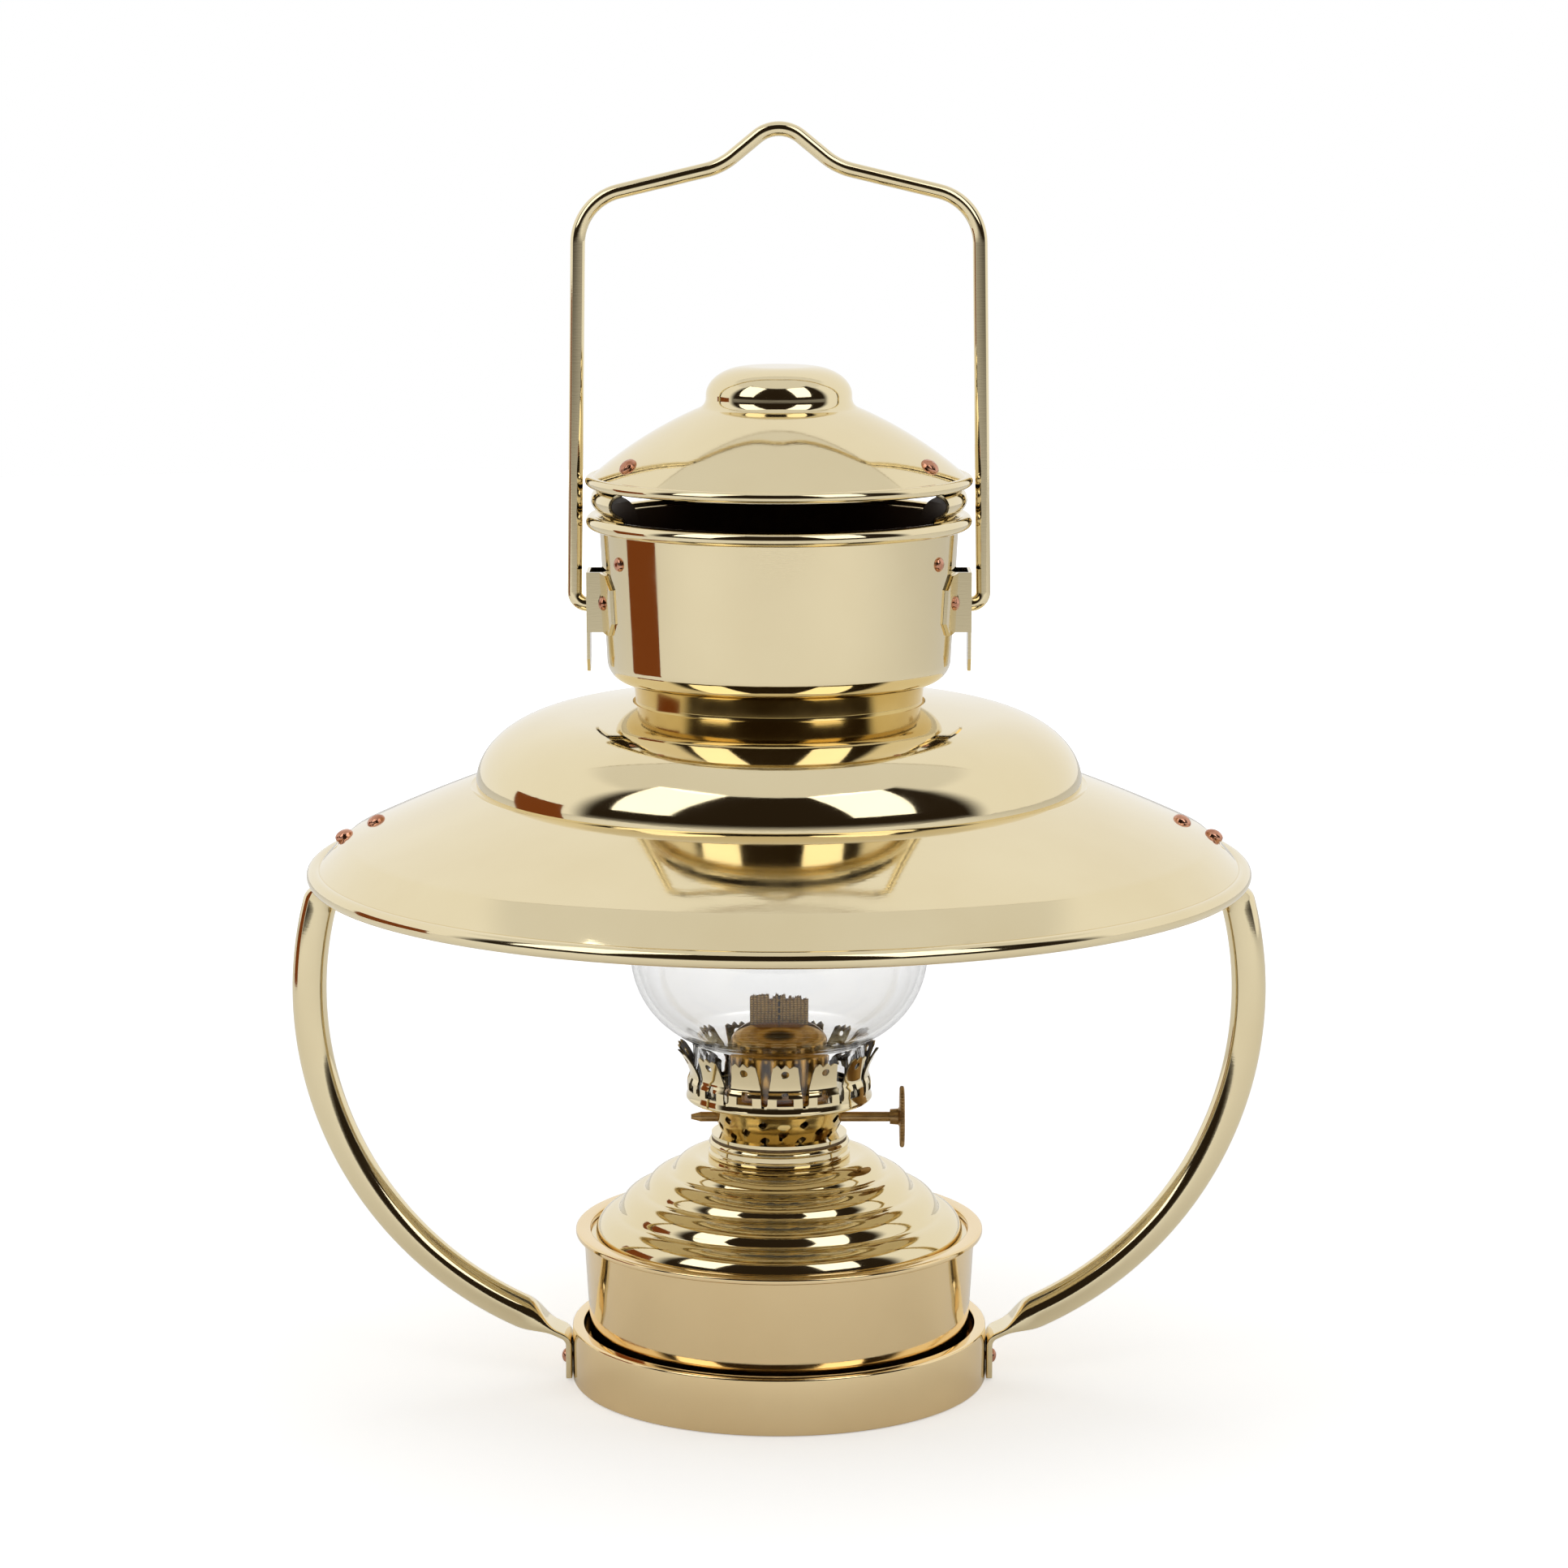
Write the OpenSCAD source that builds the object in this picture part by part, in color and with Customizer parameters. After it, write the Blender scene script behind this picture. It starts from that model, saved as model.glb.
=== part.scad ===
// Trawler lamp: a brass oil lamp with a wide shade, a lift-out tank and a wire bail.
// Millimetres, +Z up, origin on the ground at the centre of the base ring.

/* [Base ring] */
// Outer radius of the ring that the lamp stands on
ring_r = 64; // [58:0.5:74]
// Height of the base ring
ring_h = 17.7; // [14:0.1:24]
// Wall of the base ring
ring_wall = 3; // [2:0.1:4]
// Inward reach of the ledge that carries the tank
ledge_w = 7; // [5:0.5:12]
// Thickness of that ledge
ledge_t = 1.6; // [1:0.1:3]

/* [Sheet metal] */
// Thickness of the spun brass sheet
sheet = 0.9; // [0.6:0.1:1.2]
// Thickness of the folded brackets and supports
plate_t = 1; // [0.6:0.1:1.5]
// Clear gap between sheet pieces that are riveted or soldered together
sheet_fit = 0.05; // [0.02:0.01:0.1]

/* [Rivets] */
// Diameter of a rivet shank
shank_d = 2.6; // [2:0.1:3.2]
// Clearance of a shank in its hole, on the radius
shank_fit = 0.05; // [0.02:0.01:0.1]
// Head diameter of the large copper rivets on the shade and the hood
big_head_d = 5.6; // [4.4:0.1:7]
// Head diameter of the small copper rivets on the drum and the base ring
small_head_d = 4.4; // [3.8:0.1:5]
// Height of a domed rivet head
head_h = 1.6; // [1:0.1:2]
// Height of the hammered tail behind the sheet
tail_h = 0.8; // [0.5:0.1:1]

/* [Tank] */
// Clear gap between the base ring and the foot of the tank
tank_gap = 3.4; // [2.5:0.1:5]
// How much wider the tank wall is at its top than at its foot
tank_taper = 2.7; // [1:0.1:4]
// Height of the tank from its foot to its flange
tank_h = 46.4; // [40:0.2:52]
// Reach of the flange outside the tank wall
flange_reach = 2.5; // [1.5:0.1:4]
// Width of the flat flange
flange_w = 4.5; // [3.5:0.1:6]
// Thickness of the flange
flange_t = 2; // [1.5:0.1:3]
// Depth of the seat for the dome below the flange
seat_depth = 2.7; // [1.5:0.1:4]
// Width of that seat
seat_w = 3.4; // [2.5:0.1:5]

/* [Tank dome] */
// Rise of the ribbed dome from its seat to the filler collar
dome_rise = 24.4; // [20:0.2:28]
// Ribs pressed into the dome
dome_ribs = 4; // [3:1:6]
// Height of one rib
rib_h = 1.8; // [0.8:0.1:2]

/* [Filler collar] */
// Outer radius of the screw collar
collar_r = 21.8; // [20.5:0.1:24]
// Height of the screw collar
collar_h = 5.2; // [4:0.1:7]
// Radius of the collar's thread bore
collar_bore = 18.2; // [17.4:0.1:19]
// Running clearance of the burner's thread, on the radius
thread_fit = 0.1; // [0.05:0.01:0.1]
// Thickness of the sealing washer under the burner
seal_t = 0.8; // [0.5:0.1:1.5]

/* [Burner] */
// Thickness of the burner's base flange
burner_flange_t = 1; // [0.8:0.1:1.5]
// Sheet thickness of the burner parts
burner_sheet = 0.7; // [0.5:0.1:0.9]
// Height of the perforated basket
basket_h = 8.6; // [8:0.1:11]
// Outer radius of the basket at its foot
basket_foot_r = 17.5; // [17:0.1:18.5]
// Outer radius of the basket at its top
basket_top_r = 21.2; // [20:0.1:23]
// Air holes in one row of the basket
air_holes = 12; // [8:1:14]
// Diameter of an air hole
air_hole_d = 2.8; // [2:0.1:3]
// Outer radius of the chimney gallery
gallery_r = 28.6; // [27:0.1:31]
// Rise of the gallery floor above the basket
gallery_rise = 4.2; // [3.6:0.1:6]
// Spring prongs round the gallery
prongs = 14; // [10:1:16]
// Height of a prong above the gallery floor
prong_h = 15.6; // [12:0.2:20]
// Width of the slot between two prongs
prong_slot_w = 2.6; // [1.5:0.1:3.5]
// Rise of the slot's foot above the gallery floor
prong_slot_rise = 2.6; // [2:0.1:3.4]
// Outward lean of a prong's tip
prong_flare = 3.6; // [1:0.1:4.4]
// Height of the leaning part of a prong
prong_bend_h = 7.4; // [5:0.1:8]
// Width of the notch in a prong's foot
prong_notch_w = 5.2; // [3:0.1:5.6]
// Height of the notch in a prong's foot
prong_notch_h = 2.2; // [1.5:0.1:2.6]
// Width of the stem above the notch
prong_stem_w = 2.2; // [1.4:0.1:2.8]
// Height of the stem above the notch
prong_stem_h = 2.4; // [1:0.1:3]
// Diameter of the hole near a prong's tip
prong_hole_d = 2; // [1:0.1:2.4]
// Drop of that hole below the prong's tip
prong_hole_drop = 4; // [3:0.1:5]
// Outer radius of the flame dome
flame_r = 15.1; // [14:0.1:16.5]
// Height of the flame dome above the gallery floor
flame_h = 22.2; // [19:0.2:26]
// Width of the flame slot at its middle
flame_slot_w = 8; // [6:0.2:10]

/* [Wick] */
// Width of the flat wick
wick_w = 18; // [15:0.5:20]
// Thickness of the flat wick
wick_t = 3; // [2:0.1:3.5]
// Length of the wick
wick_len = 105; // [90:1:115]
// Height of the wick above the flame dome
wick_up = 8.2; // [4:0.2:12]
// Clearance of the wick in its tube
wick_fit = 0.3; // [0.2:0.05:0.4]
// Radius of the toothed wheels that lift the wick
sprocket_r = 3.7; // [3.2:0.1:4]
// Teeth on each wheel
sprocket_teeth = 10; // [8:1:12]
// Diameter of the wick shaft
shaft_d = 3; // [2.4:0.1:3.4]
// Running clearance of the shaft, on the radius
shaft_fit = 0.06; // [0.02:0.01:0.1]
// Reach of the shaft's plain end from the lamp axis
shaft_left = 27; // [24:0.5:30]
// Reach of the thumb wheel's outer face from the lamp axis
shaft_right = 38.4; // [34:0.2:44]
// Diameter of the thumb wheel
knob_d = 18.8; // [14:0.2:22]
// Thickness of the thumb wheel
knob_t = 1.4; // [1:0.1:3]

/* [Chimney] */
// Height of the glass chimney
chimney_h = 150; // [130:1:165]
// Clear gap between the chimney foot and the prongs
chimney_gap = 0.8; // [0.5:0.1:1.5]
// Wall of the glass
glass_wall = 1.8; // [1.2:0.1:2.5]
// Largest radius of the chimney's bulge
glass_bulge_r = 45.6; // [41:0.2:46]
// Height of the bulge's widest line above the chimney foot
glass_bulge_up = 43.6; // [42:0.2:50]
// Radius of the chimney's mouth
glass_top_r = 22; // [18:0.5:26]

/* [Shade] */
// Outer radius of the shade over its rim
shade_r = 143.5; // [135:0.5:155]
// Height of the rim above the ground
shade_rim_z = 160.4; // [152:0.2:170]
// Rise of the shade from its rim to the top of its bulge's curve
shade_rise = 49.1; // [46:0.1:54]
// Diameter of the rolled rim
rim_d = 5; // [4:0.1:6]
// Diameter of the wire inside the rolled rim
rim_wire_d = 3; // [2:0.1:3.4]
// Radius of the raised bulge
bulge_r = 92; // [86:0.5:98]
// Radius of the crown, where its bulge would level out
crown_r = 58; // [54:0.5:64]
// Drop from the crown to the widest line of the bulge
crown_drop = 22; // [18:0.2:24]
// Slope of the outer flange
flange_slope = 24.8; // [20:0.2:28]
// Distance of the outer rivet from the shade's edge
rivet_in = 10.9; // [10.6:0.1:12]
// Distance between the two rivets of an arm
rivet_pitch = 9.8; // [8:0.1:12]

/* [Arms] */
// Outer diameter of the arm tube
tube_d = 10.5; // [8:0.1:12]
// Wall of the arm tube
tube_wall = 1; // [0.8:0.1:1.6]
// Outward bow of an arm from the straight line between its ends
arm_bow = 26; // [18:0.5:32]
// Thickness of an arm's flattened end
strip_t = 2; // [1.6:0.1:2.4]
// Width of an arm's flattened end
strip_w = 14; // [10:0.5:16]
// Height of the lower arm rivet above the ground
arm_rivet_z = 6; // [5:0.2:7]

/* [Drum] */
// Outer radius of the neck between shade and drum
neck_r = 44.2; // [40:0.2:47]
// Visible height of the neck
neck_h = 6.3; // [5.4:0.1:9]
// Outer radius of the drum above its foot curve
drum_foot_r = 52; // [50:0.2:54]
// Outer radius of the drum below its rim
drum_top_r = 54.2; // [53:0.1:55]
// Height of the drum from its foot to its rim
drum_h = 48.5; // [46:0.1:58]
// Radius of the curve at the drum's foot
drum_corner = 6.5; // [4:0.1:6.8]
// Outer radius of the drum's rolled rim
drum_rim_r = 58.2; // [57.4:0.1:58.8]

/* [Hood] */
// Height of the vent between the drum's rim and the hood's rim, centre to centre
vent_h = 12.2; // [11:0.1:15]
// Outer radius of the hood's rolled rim
hood_r = 58.4; // [57.4:0.1:58.8]
// Diameter of the hood's rolled rim
hood_rim_d = 3.4; // [2.4:0.1:4]
// Rise of the hood from its rim to its top
hood_rise = 34.1; // [32:0.1:38]
// Radius of the boss on top of the hood
boss_r = 22; // [18:0.2:24]
// Rise of the hood's cone from its rim to the foot of the boss
cone_rise = 21.6; // [19:0.1:22]
// Half of the angle that a hood support spans
support_half = 34; // [31:0.5:38]
// Reach of a hood support below its rivets in the drum
support_tuck = 7; // [5:0.5:8]
// Angle between the X axis and a support's rivets
support_rivet_a = 28; // [26:0.5:29]

/* [Bail] */
// Diameter of the bail wire
wire_d = 4.4; // [3.6:0.1:4.8]
// Height of the crown's centre line above the pivot
bail_h = 142.2; // [125:0.2:160]
// Height of the pivot above the drum's foot
pivot_up = 23; // [21:0.1:25]
// Running clearance of the bail in its bracket, on the radius
bail_fit = 0.08; // [0.04:0.01:0.1]
// Clear gap between a bracket and the leg of the bail
leg_gap = 1.6; // [1.4:0.1:2.4]
// How far each leg leans inwards over its length
leg_lean = 1.9; // [0.6:0.1:2.4]
// Slope of the bail's shoulders
shoulder_slope = 13.5; // [12:0.1:15]
// Slope of the crown's sides
crown_slope = 39.4; // [37:0.2:42]
// Bend radius of the crown
crown_bend = 10.3; // [8:0.1:13]
// Bend radius where the crown meets a shoulder
valley_bend = 20; // [12:0.5:28]
// Bend radius of the corners
corner_bend = 16; // [10:0.5:20]

/* [Bail brackets] */
// Clear space between the drum and the bracket's outer wall
bracket_gap = 4.1; // [3.6:0.1:5]
// Half of the bracket channel's outer width
channel_half = 7.3; // [5.5:0.1:8]
// Reach of a bracket flange to each side
flange_half = 19.8; // [18:0.2:22]
// Height of the bracket above the pivot
bracket_up = 10.4; // [8:0.1:12]
// Depth of the bracket below the pivot
bracket_down = 7.7; // [6:0.1:9]
// Length of the tongue below the bracket
tongue_len = 12.4; // [6:0.2:14]

/* [Hidden] */
$fn = 72;
brass = "#d6bf8a";
copper = "#b0623c";
glass = [0.88, 0.92, 0.93, 0.45];
cotton = "#a89272";
cork = "#9b7a50";

// Overlap that makes a cutter pass clean through a wall
cut = 1;
// Diameter of a rivet's hammered tail
tail_d = shank_d + 1;

// Tank: radii and heights
tank_foot_r = ring_r - ring_wall - tank_gap;
tank_top_r = tank_foot_r + tank_taper;
tank_z = ledge_t;
flange_z = tank_z + tank_h;
flange_r = tank_top_r + flange_reach;
flange_in_r = flange_r - flange_w;
seat_z = flange_z - seat_depth;
seat_in_r = flange_in_r - seat_w;
dome_rib_r = flange_in_r - 1.6;
collar_seat_r = collar_r + 2.2;
collar_z = seat_z + sheet + dome_rise;

// Burner: heights
collar_top_z = collar_z + collar_h;
burner_z = collar_top_z + seal_t;
basket_z = burner_z + burner_flange_t;
basket_top_z = basket_z + basket_h;
floor_z = basket_top_z + gallery_rise;
prong_top_z = floor_z + prong_h;
prong_out_r = gallery_r - 0.7;
prong_in_r = prong_out_r - burner_sheet;
prong_bend_z = prong_top_z - prong_bend_h;
flame_top_z = floor_z + flame_h;
tube_half_w = wick_w / 2 + wick_fit;
tube_half_t = wick_t / 2 + wick_fit;
tube_top_z = flame_top_z - 5;
shaft_z = basket_z + basket_h * 0.68;
shaft_y = -(tube_half_t + sprocket_r);
sprocket_x = wick_w * 0.28;
sprocket_t = 1;
wick_top_z = flame_top_z + wick_up;
chimney_r = prong_in_r - chimney_gap;

// Shade: heights and the straight part of its flange
crown_z = shade_rim_z + shade_rise;
rim_c = [shade_r - rim_d / 2, shade_rim_z];
flange_out = [shade_r - 10.5, shade_rim_z + 9.4];
flange_in_x = bulge_r + 2.2;
bulge_w = bulge_r - crown_r;
bulge_c = [crown_r, crown_z - crown_drop];
// Angles on the bulge where the sloping crown and the crease begin
crown_a = 78;
bulge_a = 7;
crown_fall = crown_drop / bulge_w / tan(crown_a);
crown_edge = bulge_c + [bulge_w * cos(crown_a), crown_drop * sin(crown_a)];
function crown_surface(x) = crown_edge[1] + (crown_edge[0] - x) * crown_fall;
shade_hole_r = neck_r + sheet_fit + sheet * crown_fall;
shade_hole_z = crown_surface(shade_hole_r);

// Drum, hood and pivot
drum_z = shade_hole_z + neck_h;
drum_rim_z = drum_z + drum_h;
drum_bead_r = (drum_rim_r - drum_top_r + 0.4) / 2;
drum_hole_r = neck_r - 1.2;
hood_z = drum_rim_z + vent_h;
hood_top_z = hood_z + hood_rise;
hood_a = [boss_r + 2, hood_z + cone_rise];
hood_b = [hood_r - hood_rim_d / 2 - 0.3, hood_z + 1.1];
hood_sag = 1.5;
pivot_z = drum_z + pivot_up;

// Bracket and bail
bracket_x = drum_r(pivot_z) + bracket_gap;
bracket_out = bracket_x + plate_t;
bracket_top = pivot_z + bracket_up;
bracket_foot = pivot_z - bracket_down;
bracket_rivet_z = pivot_z + 1.6;
bracket_rivet_a = asin((channel_half + 4.2) / drum_r(pivot_z));
leg_x = bracket_out + leg_gap + wire_d / 2;
hook_bend = leg_x - bracket_out - 0.1;

// Plane geometry: points are [radius or x, z]
function unit(v) = v / norm(v);
function left_of(v) = [-v[1], v[0]];
function turned(v, a) = [v[0] * cos(a) - v[1] * sin(a), v[0] * sin(a) + v[1] * cos(a)];
function reversed(p) = [for (i = [len(p) - 1:-1:0]) p[i]];
function without_first(p) = [for (i = [1:len(p) - 1]) p[i]];

// Arc from a to b that stands s to the left of the straight line between them
function bow_radius(a, b, s) = (norm(b - a) ^ 2 / 4 + s * s) / (2 * s);
function bow_center(a, b, s) = (a + b) / 2 + left_of(unit(b - a)) * (s - bow_radius(a, b, s));
function bow(a, b, s, n = 8) =
    let (c = bow_center(a, b, s), half = asin(norm(b - a) / 2 / bow_radius(a, b, s)))
    [for (k = [0:n]) c + turned(a - c, -2 * half * k / n)];
function ellipse_arc(c, rx, rz, a0, a1, n = 12) =
    [for (k = [0:n]) let (a = a0 + (a1 - a0) * k / n) c + [rx * cos(a), rz * sin(a)]];

// Path moved sideways by t, to its left
function side_normal(p, i) =
    left_of(unit(p[min(i + 1, len(p) - 1)] - p[max(i - 1, 0)]));
function moved_path(p, t) = [for (i = [0:len(p) - 1]) p[i] + t * side_normal(p, i)];
function ribbon(p, t0, t1) = concat(moved_path(p, t0), reversed(moved_path(p, t1)));

// Straight runs joined by bends of the given radii
function run_dir(p, i) = unit(p[i + 1] - p[i]);
function bend_angle(p, i) =
    let (a = run_dir(p, i - 1), b = run_dir(p, i)) atan2(a[0] * b[1] - a[1] * b[0], a * b);
function is_end(p, i) = i == 0 || i == len(p) - 1;
function setback(p, r, i) = is_end(p, i) ? 0 : r[i] * tan(abs(bend_angle(p, i)) / 2);
function bend_center(p, r, i) =
    p[i] + unit(run_dir(p, i) - run_dir(p, i - 1)) * r[i] / cos(bend_angle(p, i) / 2);
function bend_start(p, r, i) = p[i] - run_dir(p, i - 1) * setback(p, r, i);
function bent_path(p, r, n = 6) = [
    for (i = [0:len(p) - 1])
        for (k = [0:is_end(p, i) ? 0 : n])
            is_end(p, i) ? p[i] : let (c = bend_center(p, r, i))
                c + turned(bend_start(p, r, i) - c, bend_angle(p, i) * k / n)
];

// Solids in the XZ plane
module straight_wire(a, b, d) {
    translate([a[0], 0, a[1]])
        rotate([0, atan2(b[0] - a[0], b[1] - a[1]), 0])
            cylinder(h = norm(b - a), d = d);
}

module wire_bend(c, r, a0, sweep, d) {
    translate([c[0], 0, c[1]])
        rotate([90, 0, 0])
            rotate([0, 0, min(a0, a0 + sweep)])
                rotate_extrude(angle = abs(sweep))
                    translate([r, 0])
                        circle(d = d);
}

// The straight runs are a hair thinner than the bends and reach a little way into them
module bent_wire(p, r, d) {
    for (i = [0:len(p) - 2]) {
        lap0 = is_end(p, i) ? 0 : 0.3;
        lap1 = is_end(p, i + 1) ? 0 : 0.3;
        straight_wire(p[i] + run_dir(p, i) * (setback(p, r, i) - lap0),
            p[i + 1] - run_dir(p, i) * (setback(p, r, i + 1) - lap1), d - 0.03);
    }
    for (i = [1:len(p) - 2]) {
        c = bend_center(p, r, i);
        v = bend_start(p, r, i) - c;
        wire_bend(c, r[i], atan2(v[1], v[0]), bend_angle(p, i), d);
    }
}

module bent_strip(p, r, t, w) {
    rotate([90, 0, 0])
        linear_extrude(w, center = true)
            polygon(ribbon(bent_path(p, r), t / 2, -t / 2));
}

// Sheet spun about the lamp axis; the wall lies to the right of the path
module spun(path, wall) {
    rotate_extrude()
        polygon(ribbon(path, 0, -wall));
}

module ring_bead(r, z, d) {
    rotate_extrude()
        translate([r, z])
            circle(d = d);
}

// Rivet with its head on +Z and the outer face of the sheet at z = 0
module rivet(head_d, grip) {
    rotate_extrude()
        polygon(concat(
            bow([0, head_h], [head_d / 2, 0], head_h * 0.32),
            [[shank_d / 2, 0], [shank_d / 2, -grip]],
            bow([tail_d / 2, -grip], [0, -grip - tail_h], tail_h * 0.3)));
}

module rivet_hole(depth) {
    translate([0, 0, -depth])
        cylinder(h = depth + cut, d = shank_d + 2 * shank_fit);
}

// Puts a rivet or its hole on a spun piece: angle about Z, radius, height, tilt from +Z
module on_spun(a, r, z, tilt) {
    rotate([0, 0, a])
        translate([r, 0, z])
            rotate([0, tilt, 0])
                children();
}

// Base ring
module base_ring() {
    color(brass)
        difference() {
            rotate_extrude()
                polygon(concat(
                    [[ring_r - ring_wall - ledge_w, 0], [ring_r - 1, 0], [ring_r, 1]],
                    bow([ring_r, ring_h - 1], [ring_r - 1, ring_h], -0.3, 4),
                    [[ring_r - ring_wall, ring_h], [ring_r - ring_wall, ledge_t],
                        [ring_r - ring_wall - ledge_w, ledge_t]]));
            for (a = [0, 180])
                on_spun(a, ring_r, arm_rivet_z, 90)
                    rivet_hole(ring_wall + cut);
        }
}

// Arms: a bowed tube with both ends flattened, in the XZ plane on the +X side
arm_foot = [ring_r + tube_d * 1.52, ring_h + 2.7];
arm_head = [shade_r - 3.3, shade_rim_z - 10.6];
arm_r = -bow_radius(arm_foot, arm_head, -arm_bow);
arm_c = bow_center(arm_foot, arm_head, -arm_bow);
foot_tab_x = ring_r + sheet_fit + strip_t / 2;
foot_strip = [[foot_tab_x + 4.2, ring_h - 2.7], [foot_tab_x, ring_h - 4.7], [foot_tab_x, 0.6]];
strip_depth = (sheet + sheet_fit + strip_t / 2) / cos(flange_slope);
function flange_surface(x) = flange_out[1] + (flange_out[0] - x) * tan(flange_slope);
function under_flange(x) = [x, flange_surface(x) - strip_depth];
arm_rivet_r = [shade_r - rivet_in, shade_r - rivet_in - rivet_pitch];
head_strip = [
    [rim_c[0] - rim_d / 2 - 1.5, shade_rim_z - 3.4],
    under_flange(arm_rivet_r[0] + 2.2),
    under_flange(arm_rivet_r[1] - 5)
];

function polar(v) = atan2(v[1], v[0]);

module arm_tube() {
    a0 = polar(arm_foot - arm_c);
    translate([arm_c[0], 0, arm_c[1]])
        rotate([90, 0, 0])
            rotate([0, 0, a0])
                rotate_extrude(angle = polar(arm_head - arm_c) - a0)
                    translate([arm_r, 0])
                        difference() {
                            circle(d = tube_d);
                            circle(d = tube_d - 2 * tube_wall);
                        }
}

// Squashed stretch between the round tube end and the flat strip
module squashed_end(tube_end, strip) {
    along = unit(strip[1] - strip[0]);
    across = left_of(unit(tube_end - arm_c));
    away = across * (strip[0] - tube_end) > 0 ? across : -across;
    buried = tube_end - away * 0.4;
    lap = strip[0] + along * 0.6;
    hull() {
        translate([buried[0], 0, buried[1]])
            rotate([0, atan2(away[0], away[1]), 0])
                cylinder(h = 0.02, d = tube_d - tube_wall * 0.4, center = true, $fn = 32);
        translate([lap[0], 0, lap[1]])
            rotate([0, atan2(along[0], along[1]), 0])
                cube([strip_t + 0.1, strip_w + 0.2, 0.02], center = true);
    }
}

module arm() {
    color(brass)
        difference() {
            union() {
                arm_tube();
                squashed_end(arm_foot, foot_strip);
                bent_strip(foot_strip, [0, 3, 0], strip_t, strip_w);
                squashed_end(arm_head, head_strip);
                bent_strip(head_strip, [0, 3, 0], strip_t, strip_w);
            }
            on_spun(0, foot_tab_x + strip_t / 2, arm_rivet_z, 90)
                rivet_hole(strip_t + cut);
            for (r = arm_rivet_r)
                on_spun(0, r, flange_surface(r), flange_slope)
                    rivet_hole(sheet + strip_t + cut);
        }
}

module right_arm() {
    arm();
}

module left_arm() {
    mirror([1, 0, 0])
        arm();
}

module arm_base_rivets() {
    color(copper)
        for (a = [0, 180])
            on_spun(a, foot_tab_x + strip_t / 2 + sheet_fit, arm_rivet_z, 90)
                rivet(small_head_d, strip_t + ring_wall + 3 * sheet_fit);
}

// Shade, from the edge of its hole over the crown and bulge to the rolled rim
bulge_end = bulge_c + [bulge_w * cos(bulge_a), crown_drop * sin(bulge_a)];
flange_start = [flange_in_x, flange_surface(flange_in_x)];
shade_path = concat(
    [[shade_hole_r, shade_hole_z]],
    ellipse_arc(bulge_c, bulge_w, crown_drop, crown_a, bulge_a),
    without_first(bow(bulge_end, flange_start, -0.42)),
    bow(flange_out, rim_c + [-0.2, 0.38] * rim_d, 0.95)
);

module shade() {
    color(brass)
        difference() {
            union() {
                spun(shade_path, sheet);
                ring_bead(rim_c[0], rim_c[1], rim_d);
            }
            ring_bead(rim_c[0], rim_c[1], rim_wire_d + 4 * sheet_fit);
            for (a = [0, 180], r = arm_rivet_r)
                on_spun(a, r, flange_surface(r), flange_slope)
                    rivet_hole(sheet + cut);
        }
}

module shade_rim_wire() {
    color("silver")
        ring_bead(rim_c[0], rim_c[1], rim_wire_d);
}

module shade_rivets() {
    color(copper)
        for (a = [0, 180], r = arm_rivet_r)
            on_spun(a, r, flange_surface(r), flange_slope)
                translate([0, 0, sheet_fit])
                    rivet(big_head_d, sheet + strip_t + 3 * sheet_fit);
}

// Neck collar: clamps the shade below and the drum's floor above
module neck_collar() {
    shade_under = (sheet + sheet_fit) * norm([1, crown_fall]);
    drum_floor = drum_z + sheet;
    sleeve_r = drum_hole_r - sheet_fit;
    bore_r = sleeve_r - 1;
    lip_r = neck_r + 4;
    bead = [neck_r, shade_hole_z + 0.5];
    waist = [neck_r, shade_hole_z + 3.3];
    color(brass)
        rotate_extrude()
            polygon(concat(
                [[bore_r, crown_surface(lip_r) - shade_under - plate_t],
                    [lip_r, crown_surface(lip_r) - shade_under - plate_t],
                    [lip_r, crown_surface(lip_r) - shade_under], [neck_r, crown_surface(neck_r) - shade_under]],
                bow(bead, waist, -1.1),
                without_first(bow(waist, [neck_r, drum_z], 0.5)),
                [[sleeve_r, drum_z], [sleeve_r, drum_floor], [sleeve_r + 2, drum_floor],
                    [sleeve_r + 2, drum_floor + plate_t], [bore_r, drum_floor + plate_t]]));
}

// Drum, from the edge of its floor up the tapered wall to the rolled rim
function drum_r(z) =
    drum_foot_r + (z - drum_z - drum_corner) * (drum_top_r - drum_foot_r) / (drum_h - drum_corner);
drum_lean = atan((drum_top_r - drum_foot_r) / (drum_h - drum_corner));
drum_path = concat(
    [[drum_hole_r, drum_z]],
    bow([drum_foot_r - drum_corner, drum_z], [drum_foot_r, drum_z + drum_corner], -drum_corner * 0.28),
    [[drum_top_r, drum_rim_z]]
);
drum_rivet_z = drum_rim_z - 10.7;

module drum_wall_holes() {
    for (a = [0, 180], s = [-1, 1]) {
        on_spun(a + s * support_rivet_a, drum_r(drum_rivet_z), drum_rivet_z, 90 + drum_lean)
            rivet_hole(sheet + plate_t + cut);
        on_spun(a + s * bracket_rivet_a, drum_r(bracket_rivet_z) + plate_t, bracket_rivet_z, 90 + drum_lean)
            rivet_hole(sheet + plate_t + cut);
    }
}

module drum() {
    color(brass)
        difference() {
            union() {
                rotate_extrude()
                    polygon(ribbon(drum_path, 0, sheet));
                ring_bead(drum_rim_r - drum_bead_r, drum_rim_z, 2 * drum_bead_r);
            }
            drum_wall_holes();
        }
}

module drum_rivets() {
    color(copper)
        for (a = [0, 180], s = [-1, 1])
            on_spun(a + s * support_rivet_a, drum_r(drum_rivet_z) + sheet_fit, drum_rivet_z, 90 + drum_lean)
                rivet(small_head_d, sheet + plate_t + 3 * sheet_fit);
}

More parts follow.
